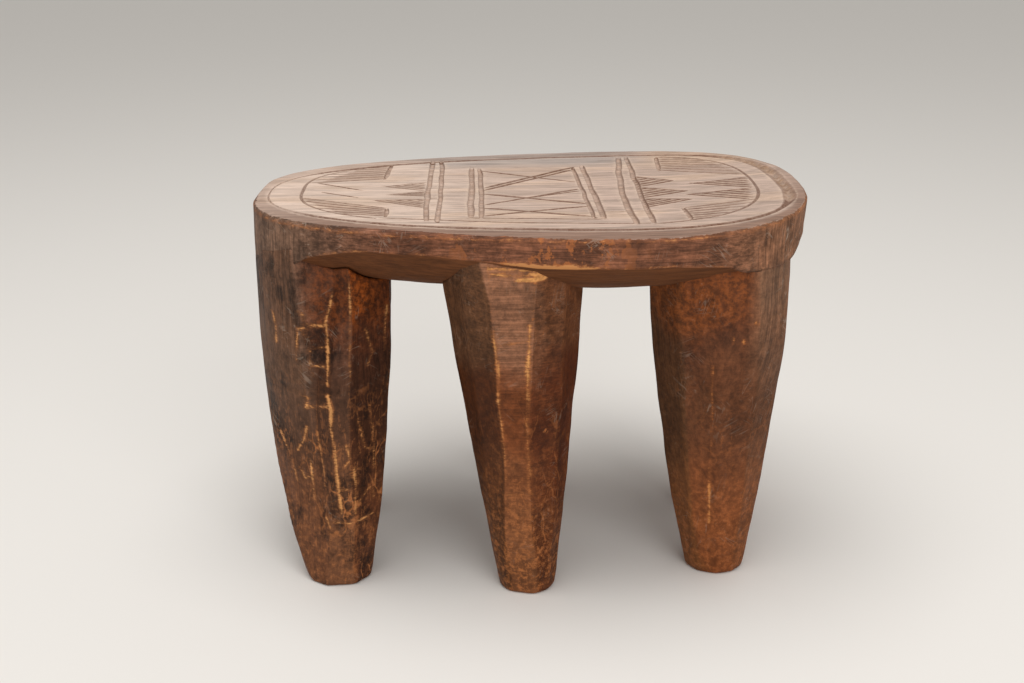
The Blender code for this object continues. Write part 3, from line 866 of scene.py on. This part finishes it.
# Tool marks follow the surface: shallow adze scallops and raised fibre, kept as real geometry
# depths in metres, sizes as marks to a metre along x, y and z
toolMarks = {
    "seat": {"Mark Depth": 0.0011, "Mark Size": (42.0, 42.0, 60.0), "Fibre Depth": 0.00012,
             "Fibre Size": (40.0, 420.0, 420.0), "Seed": 3.0},
    "leg": {"Mark Depth": 0.0012, "Mark Size": (46.0, 46.0, 30.0), "Fibre Depth": 0.00014,
            "Fibre Size": (60.0, 380.0, 380.0)},
}


def toolMarksTree():
    tree, given, result = newGroup("toolMarks", "GeometryNodeTree", {
        "Geometry": "Geometry", "Mark Depth": "Float", "Mark Size": "Vector", "Fibre Depth": "Float",
        "Fibre Size": "Vector", "Seed": "Float", "Material": "Material",
    }, {"Geometry": "Geometry"})
    place = addNode(tree, "GeometryNodeInputPosition").outputs[0]
    normal = addNode(tree, "GeometryNodeInputNormal").outputs[0]
    inputs = {"Name": "markWeight"}
    weight = addNode(tree, "GeometryNodeInputNamedAttribute", inputs, data_type="FLOAT").outputs[0]

    def sized(size):
        inputs = {0: place, 1: given[size]}
        return addNode(tree, "ShaderNodeVectorMath", inputs, operation="MULTIPLY").outputs[0]

    cells = addNode(tree, "ShaderNodeTexVoronoi", {
        "Vector": sized("Mark Size"), "W": given["Seed"], "Scale": 1.0, "Smoothness": 0.35,
    }, voronoi_dimensions="4D", feature="SMOOTH_F1").outputs["Distance"]
    bent = cloud(tree, place, 30.0, 2.0, 0.5)
    scallop = calc(tree, "ADD", calc(tree, "SUBTRACT", cells, 0.45), calc(tree, "SUBTRACT", bent, 0.5))
    fibre = addNode(tree, "ShaderNodeTexNoise", {
        "Vector": sized("Fibre Size"), "W": given["Seed"], "Scale": 1.0, "Detail": 3.0, "Roughness": 0.6,
    }, noise_dimensions="4D").outputs[0]
    rise = nudged(tree, times(tree, scallop, given["Mark Depth"]), fibre, given["Fibre Depth"])
    inputs = {0: normal, "Scale": times(tree, rise, weight)}
    offset = addNode(tree, "ShaderNodeVectorMath", inputs, operation="SCALE").outputs[0]
    inputs = {"Geometry": given["Geometry"], "Offset": offset}
    moved = addNode(tree, "GeometryNodeSetPosition", inputs).outputs[0]
    real = addNode(tree, "GeometryNodeRealizeInstances", {"Geometry": moved}).outputs[0]
    inputs = {"Geometry": real, "Material": given["Material"]}
    dressed = addNode(tree, "GeometryNodeSetMaterial", inputs).outputs[0]
    tree.links.new(dressed, result["Geometry"])
    return tree


def markWithTools(piece, tree, values):
    modifier = piece.modifiers.new("toolMarks", "NODES")
    modifier.node_group = tree
    for item in tree.interface.items_tree:
        if item.in_out == "INPUT" and item.name in values:
            modifier[item.identifier] = values[item.name]
    bpy.context.view_layer.update()
    depsgraph = bpy.context.evaluated_depsgraph_get()
    evaluated = piece.evaluated_get(depsgraph)
    mesh = bpy.data.meshes.new_from_object(evaluated, preserve_all_data_layers=True, depsgraph=depsgraph)
    piece.modifiers.remove(modifier)
    piece.data = mesh
    mesh.name = piece.name
    mesh.shade_smooth()


# Shader groups that both woods share
def fibreGroup():      # grain along the block, and upright streaks on the faces that show end grain
    tree, given, result = newGroup("woodFibre", "ShaderNodeTree", {"Vector": "Vector", "End Grain": "Float"},
                                   {"Fibre": "Float", "Streak": "Float"})
    for label, sideScale, endScale in (("Fibre", (24.0, 420.0, 800.0), (200.0, 800.0, 34.0)),
                                       ("Streak", (8.0, 130.0, 190.0), (70.0, 190.0, 10.0))):
        side, end = (cloud(tree, given["Vector"], scale, 4.0, 0.65) for scale in (sideScale, endScale))
        either = addNode(tree, "ShaderNodeMix", {0: given["End Grain"], 2: side, 3: end}).outputs[0]
        tree.links.new(either, result[label])
    return tree


def rubbedGroup():      # bare lines and the warmer wood beside them, broken up by noise
    tree, given, result = newGroup("rubbedWood", "ShaderNodeTree", {"Vector": "Vector", "Wear": "Float"},
                                   {"Line": "Float", "Halo": "Float"})
    fine = cloud(tree, given["Vector"], (190.0, 190.0, 640.0), 4.0, 0.75)
    wide = cloud(tree, given["Vector"], (60.0, 60.0, 34.0), 4.0, 0.65)
    both = calc(tree, "ADD", times(tree, fine, 0.6), times(tree, wide, 0.4))
    for label, amount, low, high in (("Line", 3.2, 0.62, 1.02), ("Halo", 2.6, 0.20, 1.05)):
        tree.links.new(span(tree, nudged(tree, given["Wear"], both, amount), low, high), result[label])
    return tree


def scratched(tree, vector, angle, shift):      # thin broken lines along one direction of the front
    inputs = {"Vector": vector, "Axis": (0, 1, 0), "Angle": angle}
    turned = addNode(tree, "ShaderNodeVectorRotate", inputs).outputs[0]
    run = cloud(tree, turned, (26.0, 26.0, 230.0), 0.0, 0.5, (shift, 0, 0), 1.3)
    broken = cloud(tree, stretched(tree, vector, (1, 1, 1), (0, shift, 0)), 50.0)
    return times(tree, span(tree, offMiddle(tree, run), 0.030, 0.004), span(tree, broken, 0.53, 0.66))


def scuffGroup():      # hair-fine pale scratches and dusty patches
    tree, given, result = newGroup("dustyScuffs", "ShaderNodeTree", {"Vector": "Vector"},
                                   {"Scuff": "Float", "Patch": "Float", "Grit": "Float"})
    patch = cloud(tree, given["Vector"], 19.0, 4.0, 0.6)
    grit = cloud(tree, given["Vector"], 210.0, 5.0, 0.75)
    marks = span(tree, grit, 0.60, 0.74)
    for angle, shift in ((0.45, 0.1), (1.35, 0.6), (2.35, 0.9)):
        marks = calc(tree, "MAXIMUM", marks, scratched(tree, given["Vector"], angle, shift))
    scuff = times(tree, marks, span(tree, patch, 0.40, 0.62))
    for label, value in (("Scuff", scuff), ("Patch", patch), ("Grit", grit)):
        tree.links.new(value, result[label])
    return tree


def attribute(tree, name):
    return addNode(tree, "ShaderNodeAttribute", attribute_name=name).outputs["Fac"]


def newMaterial(name, gloss):
    material = bpy.data.materials.new(name)
    material.use_nodes = True
    tree = material.node_tree
    tree.nodes.clear()
    shader = tree.nodes.new("ShaderNodeBsdfPrincipled")
    shader.inputs["Specular IOR Level"].default_value = gloss
    output = tree.nodes.new("ShaderNodeOutputMaterial")
    tree.links.new(shader.outputs[0], output.inputs["Surface"])
    return material, tree, shader


def startWood(tree, groups, upright):      # what both woods read: place, grain, dust, left and right faces
    coordinates = tree.nodes.new("ShaderNodeTexCoord").outputs
    place = coordinates["Object"]
    normal = addNode(tree, "ShaderNodeSeparateXYZ", {0: coordinates["Normal"]}).outputs["X"]
    left, right = span(tree, normal, -0.28, -0.50), span(tree, normal, 0.28, 0.50)
    ends = calc(tree, "MAXIMUM", span(tree, calc(tree, "ABSOLUTE", normal), 0.40, 0.70), upright)
    fibre = useGroup(tree, groups["fibre"], {"Vector": place, "End Grain": ends})
    return place, fibre, useGroup(tree, groups["scuff"], {"Vector": place}), left, right


def finishWood(tree, shader, colour, fibre, scuff, surface):
    furrows = times(tree, fibre["Fibre"], surface["fibre"])
    relief = calc(tree, "ADD", furrows, times(tree, scuff["Grit"], surface["grit"]))
    inputs = {"Height": relief, "Strength": surface["strength"], "Distance": surface["depth"]}
    bump = addNode(tree, "ShaderNodeBump", inputs)
    tree.links.new(colour, shader.inputs["Base Color"])
    tree.links.new(span(tree, scuff["Patch"], 0.3, 0.7, *surface["rough"]), shader.inputs["Roughness"])
    tree.links.new(bump.outputs[0], shader.inputs["Normal"])


# Seat finish: linear colours, the places where they change along x and y in metres, and the surface
seatFinish = {
    "pale": (0.606, 0.462, 0.376),
    "brown": (0.478, 0.350, 0.282),
    "grey": (0.395, 0.328, 0.290),
    "tan": (0.575, 0.402, 0.286),
    "cut": (0.145, 0.066, 0.037),
    "floor": (0.455, 0.314, 0.237),
    "trough": (0.330, 0.206, 0.132),
    "lip": (0.640, 0.480, 0.365),
    "hatch": (0.240, 0.138, 0.094),
    "band": (0.270, 0.165, 0.119),
    "side": (0.172, 0.066, 0.034),
    "sideEnds": (0.176, 0.098, 0.062),
    "sideRight": (0.236, 0.108, 0.056),
    "warm": (0.390, 0.128, 0.040),
    "bare": (0.600, 0.270, 0.095),
    "under": (0.124, 0.043, 0.014),
    "dust": (0.380, 0.295, 0.230),
    "brownX": (-0.13, 0.07),
    "tanBlockX": (0.085, 0.120),
    "tanBlockY": (0.066, 0.092),
    "greyX": (0.125, 0.055),
    "greyY": (0.078, 0.108),
    "bandX": (-0.195, -0.130),
    "bandY": (0.06, -0.10),
    "troughX": (0.130, 0.165),
    "endsX": (0.09, 0.19),
    "sideRightX": (0.0, 0.15),
    "chafedX": (0.085, 0.030),      # from the middle leg
    "middleLegX": 0.004,
    "surface": {"gloss": 0.18, "rough": (0.64, 0.82), "fibre": -0.6, "grit": 0.4,
                "strength": 0.55, "depth": 0.0007},
}


def seatWood(finish, groups):
    material, tree, shader = newMaterial("seatWood", finish["surface"]["gloss"])
    place, fibre, scuff, _, _ = startWood(tree, groups, 0.0)
    grit, patch = scuff["Grit"], scuff["Patch"]
    axes = addNode(tree, "ShaderNodeSeparateXYZ", {0: place}).outputs
    x, y, fromMiddle = axes["X"], axes["Y"], calc(tree, "ABSOLUTE", axes["X"])
    lightDark = times(tree, span(tree, fibre["Streak"], 0.32, 0.68, 0.84, 1.13),
                      span(tree, fibre["Fibre"], 0.35, 0.66, 1.13, 0.77))
    # the top: dry pale wood at the narrow end, browner to the broad end, greyed along the far side
    browner = span(tree, x, *finish["brownX"], 0.0, 0.75)
    browner = calc(tree, "ADD", browner, calc(tree, "SUBTRACT", patch, 0.45))
    top = blend(tree, span(tree, browner, 0.0, 0.75), finish["pale"], finish["brown"])
    tan = span(tree, cloud(tree, place, (11.0, 46.0, 46.0), shift=(0.4, 0.0, 0.2)), 0.50, 0.64, 0.0, 0.48)
    block = times(tree, span(tree, y, *finish["tanBlockY"]), span(tree, x, *finish["tanBlockX"], 0.0, 0.75))
    top = painted(tree, top, finish["tan"], calc(tree, "MAXIMUM", tan, block))
    far = times(tree, span(tree, y, *finish["greyY"]), span(tree, fromMiddle, *finish["greyX"]))
    top = painted(tree, top, finish["grey"], far, 0.85)
    top = painted(tree, top, finish["hatch"], attribute(tree, "hatch"), 0.46)
    top = painted(tree, top, finish["band"], attribute(tree, "band"),
                  span(tree, y, *finish["bandY"], 0.35, 1.0), span(tree, x, *finish["bandX"], 0.76, 1.0))
    top = scaled(tree, top, lightDark)
    # the carving: worn floors, pale lips partly a painted highlight, dark cuts partly painted shade on one
    # wall; then hair cracks along the grain
    floor = blend(tree, span(tree, x, *finish["troughX"]), finish["floor"], finish["trough"])
    worn = span(tree, cloud(tree, place, 105.0, 4.0, 0.65), 0.40, 0.60, 1.0, 0.35)
    top = painted(tree, top, scaled(tree, floor, lightDark), attribute(tree, "floor"), worn)
    top = painted(tree, top, finish["lip"], attribute(tree, "lip"), span(tree, grit, 0.40, 0.65, 0.1, 0.7))
    top = painted(tree, top, finish["cut"], attribute(tree, "cut"), span(tree, grit, 0.34, 0.60, 1.0, 0.66))
    cracks = cloud(tree, place, (9.0, 260.0, 60.0), shift=(0.0, 0.4, 0.0))
    top = painted(tree, top, finish["cut"], span(tree, offMiddle(tree, cracks), 0.012, 0.0), 0.45)
    # the side: dark skin, dusty at both ends, rubbed through at the middle of the front and along its edges
    ends = span(tree, fromMiddle, *finish["endsX"])
    endColour = blend(tree, span(tree, x, *finish["sideRightX"]), finish["sideEnds"], finish["sideRight"])
    side = blend(tree, ends, finish["side"], endColour)
    blot = cloud(tree, place, (38.0, 38.0, 44.0), 5.0, 0.66, (0.7, 0.2, 0.5))
    side = scaled(tree, side, times(tree, lightDark, span(tree, blot, 0.36, 0.64, 1.25, 0.62),
                                    span(tree, grit, 0.34, 0.66, 0.76, 1.22),
                                    span(tree, fibre["Fibre"], 0.35, 0.66, 1.16, 0.80)))
    side = painted(tree, side, finish["dust"], scuff["Scuff"], span(tree, ends, 0.0, 1.0, 0.45, 0.8))
    torn = cloud(tree, place, (70.0, 70.0, 620.0), 2.0, 0.6)
    chafed = nudged(tree, cloud(tree, place, (85.0, 85.0, 60.0), 4.0, 0.6, (0.2, 0.1, 0.9)), torn, 0.10)
    middle = span(tree, offMiddle(tree, x, finish["middleLegX"]), *finish["chafedX"])
    side = painted(tree, side, finish["warm"], middle, span(tree, chafed, 0.545, 0.580),
                   span(tree, grit, 0.40, 0.60, 0.85, 0.45))
    rubbed = useGroup(tree, groups["rubbed"], {"Vector": place, "Wear": attribute(tree, "edge")})
    side = painted(tree, side, finish["warm"], rubbed["Halo"], 0.55)
    side = painted(tree, side, finish["bare"], rubbed["Line"], 0.75)
    isTop = attribute(tree, "top")      # 1 on the top, 0 on the side, -1 below
    side = painted(tree, side, scaled(tree, finish["under"], lightDark), span(tree, isTop, -0.2, -0.9))
    # the border between them is chipped and torn
    onTop = calc(tree, "SUBTRACT", isTop, times(tree, attribute(tree, "skin"), 0.85))
    onTop = nudged(tree, onTop, grit, 0.9)
    onTop = nudged(tree, onTop, cloud(tree, place, (95.0, 95.0, 150.0), 4.0, 0.7), 1.1)
    colour = blend(tree, span(tree, onTop, 0.47, 0.62), side, top)
    finishWood(tree, shader, colour, fibre, scuff, finish["surface"])
    return material


# Leg finishes, linear colours: the skin from top to foot, warm wood beside rubbed lines, bare wood on them
# upright: how far the grain runs up the leg; tints: painted shade for the faces turned to the left and right
# underWear: red wood under the seat, on other faces and on right ones
# join: the seat's colour where its side runs into the leg
legFinish = {
    "leg_front_left": {
        "upper": (0.082, 0.0325, 0.0180), "middle": (0.064, 0.0270, 0.0138), "lower": (0.150, 0.0600, 0.0270),
        "warm": (0.285, 0.103, 0.033), "bare": (0.620, 0.285, 0.098), "red": (0.290, 0.068, 0.010),
        "leftFacingShade": (0.82, 0.74, 0.64), "rightFacingShade": (0.66, 0.52, 0.42), "stain": 0.72, "grain": 0.85,
        "upright": 0.70, "footWear": 0.28, "underWear": (0.40, 0.95), "dust": 0.30, "craze": 0.80,
        "joinTint": 0.62, "join": "sideEnds",
    },
    "leg_front_middle": {
        "upper": (0.250, 0.112, 0.061), "middle": (0.164, 0.046, 0.0130), "lower": (0.236, 0.085, 0.0310),
        "warm": (0.420, 0.145, 0.042), "bare": (0.640, 0.295, 0.098), "red": (0.330, 0.120, 0.036),
        "leftFacingShade": (0.41, 0.40, 0.34), "rightFacingShade": (0.48, 0.37, 0.26), "stain": 0.34, "grain": 0.75,
        "upright": 0.0, "footWear": 0.50, "underWear": (0.10, 0.10), "dust": 0.25, "craze": 0.20,
        "joinTint": 0.0, "join": "sideEnds",
    },
    "leg_front_right": {
        "upper": (0.117, 0.038, 0.016), "middle": (0.122, 0.042, 0.0165), "lower": (0.225, 0.067, 0.0195),
        "warm": (0.320, 0.100, 0.028), "bare": (0.540, 0.215, 0.062), "red": (0.270, 0.072, 0.014),
        "leftFacingShade": (0.82, 0.98, 1.0), "rightFacingShade": (0.88, 0.95, 0.98), "stain": 0.28, "grain": 0.80,
        "upright": 0.75, "footWear": 0.40, "underWear": (0.60, 0.60), "dust": 0.26, "craze": 0.15,
        "joinTint": 0.85, "join": "sideRight",
    },
}
for side in ("left", "middle", "right"):
    legFinish["leg_back_" + side] = {**legFinish["leg_front_" + side], "craze": 0.14}

# heights on every leg between which a finish sets in, metres
legHeights = {
    "middle": (0.045, 0.135), "upper": (0.165, 0.225), "grain": (0.130, 0.215), "foot": (0.120, 0.010),
    "under": (0.190, 0.240), "craze": (0.185, 0.120), "flecks": (0.16, 0.07),
}
legSurface = {"gloss": 0.16, "rough": (0.52, 0.74), "grit": 0.6, "strength": 0.6, "depth": 0.0009}


def legWood(name, finish, groups):
    material, tree, shader = newMaterial(name + "Wood", legSurface["gloss"])
    place, fibre, scuff, leftFacing, rightFacing = startWood(tree, groups, finish["upright"])
    grit, patch = scuff["Grit"], scuff["Patch"]
    wear, joined = attribute(tree, "wear"), attribute(tree, "joined")
    rubbed = useGroup(tree, groups["rubbed"], {"Vector": place, "Wear": wear})
    height = nudged(tree, addNode(tree, "ShaderNodeSeparateXYZ", {0: place}).outputs["Z"], patch, 0.12)

    def rising(label, *limits):
        return span(tree, height, *legHeights[label], *limits)

    def gritty(colour, dark, light):
        return scaled(tree, colour, span(tree, grit, 0.35, 0.65, dark, light))

    colour = blend(tree, rising("middle"), finish["lower"], finish["middle"])
    colour = painted(tree, colour, finish["upper"], rising("upper"))
    colour = painted(tree, colour, seatFinish[finish["join"]], joined, finish["joinTint"])
    # lighter and darker in streaks and fibres, less so towards the foot
    grain, stain = finish["grain"], finish["stain"]
    tone = times(tree, span(tree, fibre["Streak"], 0.32, 0.68, 1 - 0.26 * grain, 1 + 0.22 * grain),
                 span(tree, fibre["Fibre"], 0.35, 0.66, 1 + 0.26 * grain, 1 - 0.42 * grain))
    tone = nudged(tree, 1.0, tone, rising("grain", 0.50, 1.0), 1.0)
    # blotted with dark stains; painted shade darkens the faces turned to the ends
    blot = cloud(tree, place, (34.0, 34.0, 22.0), 6.0, 0.7, (0.3, 0.8, 0.1))
    stained = span(tree, blot, 0.47, 0.62, 1.0, 1.0 - stain)
    tone = times(tree, tone, span(tree, grit, 0.34, 0.66, 0.76, 1.22), stained, 1 + 0.35 * stain)
    colour = scaled(tree, colour, tone)
    # painted shade: the faces turned to the left and right are tinted darker
    for mask, tint in ((leftFacing, finish["leftFacingShade"]), (rightFacing, finish["rightFacingShade"])):
        colour = blend(tree, mask, colour, tint, "MULTIPLY")
    # bare wood: red-brown right under the seat, mottled at the foot, warm beside the rubbed lines
    under = times(tree, rising("under"), span(tree, grit, 0.40, 0.60, 0.35, 1.0),
                  calc(tree, "SUBTRACT", 1.0, joined),
                  span(tree, rightFacing, 0.0, 1.0, *finish["underWear"]))
    colour = painted(tree, colour, gritty(finish["red"], 0.7, 1.25), under)
    foot = times(tree, rising("foot"), span(tree, grit, 0.46, 0.62), finish["footWear"])
    warm = calc(tree, "MAXIMUM", times(tree, rubbed["Halo"], 0.5), foot)
    colour = painted(tree, colour, gritty(finish["warm"], 0.7, 1.2), warm)
    # fine upright cracks, a wandering net of them, and flecks, rubbed warm, on the lower half
    craze = cloud(tree, place, (120.0, 120.0, 19.0), 2.0, 0.5, bend=0.9)
    craze = span(tree, offMiddle(tree, craze), 0.034, 0.004)
    craze = times(tree, craze, span(tree, grit, 0.42, 0.58, 0.0, 0.35))
    inputs = {"Vector": place, "Scale": 55.0, "Detail": 2.0}
    wander = addNode(tree, "ShaderNodeTexNoise", inputs).outputs["Color"]
    inputs = {0: scaled(tree, wander, 0.011), 1: place}
    wander = addNode(tree, "ShaderNodeVectorMath", inputs, operation="ADD").outputs[0]
    inputs = {"Vector": stretched(tree, wander, (72.0, 72.0, 26.0)), "Scale": 1.0}
    net = addNode(tree, "ShaderNodeTexVoronoi", inputs, feature="DISTANCE_TO_EDGE").outputs["Distance"]
    net = times(tree, span(tree, net, 0.050, 0.012), span(tree, patch, 0.40, 0.52),
                span(tree, leftFacing, 0.0, 1.0, 1.0, 0.5), span(tree, grit, 0.38, 0.52))
    craze = times(tree, calc(tree, "MAXIMUM", craze, net), rising("craze"), finish["craze"])
    flecks = times(tree, span(tree, grit, 0.59, 0.68, 0.0, 0.45), rising("flecks"), finish["craze"])
    colour = painted(tree, colour, gritty(finish["warm"], 1.0, 1.8), calc(tree, "MAXIMUM", craze, flecks))
    # the rubbed lines themselves, a few bare specks, and dust
    specks = span(tree, cloud(tree, place, 120.0, 4.0, 0.7), 0.68, 0.74, 0.0, 0.6)
    bare = blend(tree, span(tree, wear, 0.45, 1.0), finish["warm"], finish["bare"])
    colour = painted(tree, colour, gritty(bare, 0.75, 1.2), calc(tree, "MAXIMUM", rubbed["Line"], specks))
    dust = calc(tree, "ADD", times(tree, joined, 0.3), finish["dust"])
    colour = painted(tree, colour, seatFinish["dust"], scuff["Scuff"], dust)
    finishWood(tree, shader, colour, fibre, scuff, {**legSurface, "fibre": -0.6 * grain})
    return material


planCarving()
print("carving planned")
marksTree = toolMarksTree()
groups = {"fibre": fibreGroup(), "rubbed": rubbedGroup(), "scuff": scuffGroup()}

seatPiece = buildSeat()
markWithTools(seatPiece, marksTree, {**toolMarks["seat"], "Material": seatWood(seatFinish, groups)})
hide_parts("seat")
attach(seatPiece, "root")

for legName, legSpec in legs.items():
    legPiece = buildLeg("carved_" + legName, legSpec)
    wood = legWood(legName, legFinish[legName], groups)
    markWithTools(legPiece, marksTree, {**toolMarks["leg"], "Seed": float(legSpec["seed"]), "Material": wood})
    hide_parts(legName)
    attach(legPiece, "root")
print("seat and legs carved")

# Stage: a plain pale floor, soft light and the photo's camera; metres, watts and degrees
stage = {
    "floorReach": 6.0,
    "floorColour": (0.80, 0.77, 0.73, 1),
    "floorRough": 0.85,
    "floorGloss": 0.1,
    "skyColour": (1.0, 0.985, 0.96, 1),
    "skyStrength": 0.55,
    "softBoxes": [      # place, aim, size, watts
        ("overheadBox", (-0.2, -0.3, 2.2), (0, 0, 0.2), 1.6, 26),
        ("frontBox", (0.7, -1.9, 1.3), (0, 0, 0.15), 1.2, 13),
    ],
}
camera = {
    "place": (-0.0420, -1.0847, 0.5313), "yaw": -1.5, "pitch": -18.7, "roll": 0.4,
    "lens": 50.0, "sensor": 36.0,      # mm
}


def addToScene(name, data):
    made = bpy.data.objects.new(name, data)
    bpy.context.scene.collection.objects.link(made)
    return made


def buildStage():
    mesh = bpy.data.meshes.new("floor")
    reach = stage["floorReach"]
    corners = [(-reach, -reach, 0), (reach, -reach, 0), (reach, reach, 0), (-reach, reach, 0)]
    mesh.from_pydata(corners, [], [(0, 1, 2, 3)])
    floor = addToScene("floor", mesh)
    material, _, shader = newMaterial("paleFloor", stage["floorGloss"])
    shader.inputs["Base Color"].default_value = stage["floorColour"]
    shader.inputs["Roughness"].default_value = stage["floorRough"]
    mesh.materials.append(material)

    world = bpy.data.worlds.new("softSky")
    world.use_nodes = True
    sky = world.node_tree.nodes["Background"]
    sky.inputs["Color"].default_value = stage["skyColour"]
    sky.inputs["Strength"].default_value = stage["skyStrength"]
    bpy.context.scene.world = world

    for name, place, aim, size, watts in stage["softBoxes"]:
        light = bpy.data.lights.new(name, "AREA")
        light.shape = "SQUARE"
        light.size = size
        light.energy = watts
        lamp = addToScene(name, light)
        lamp.location = place
        lamp.rotation_euler = (Vector(aim) - Vector(place)).to_track_quat("-Z", "Y").to_euler()


def placeCamera():
    data = bpy.data.cameras.new("photoCamera")
    data.lens = camera["lens"]
    data.sensor_width = camera["sensor"]
    view = addToScene("photoCamera", data)
    turn = Matrix.Identity(3)
    for label, axis in (("yaw", "Z"), ("pitch", "X"), ("roll", "Y")):
        turn = turn @ Matrix.Rotation(math.radians(camera[label]), 3, axis)
    right, forward, up = turn.col
    aimed = Matrix((right, up, -forward)).transposed().to_4x4()
    view.matrix_world = Matrix.Translation(camera["place"]) @ aimed
    bpy.context.scene.camera = view
    bpy.context.scene.view_settings.view_transform = "Standard"


buildStage()
placeCamera()
print("stage set")
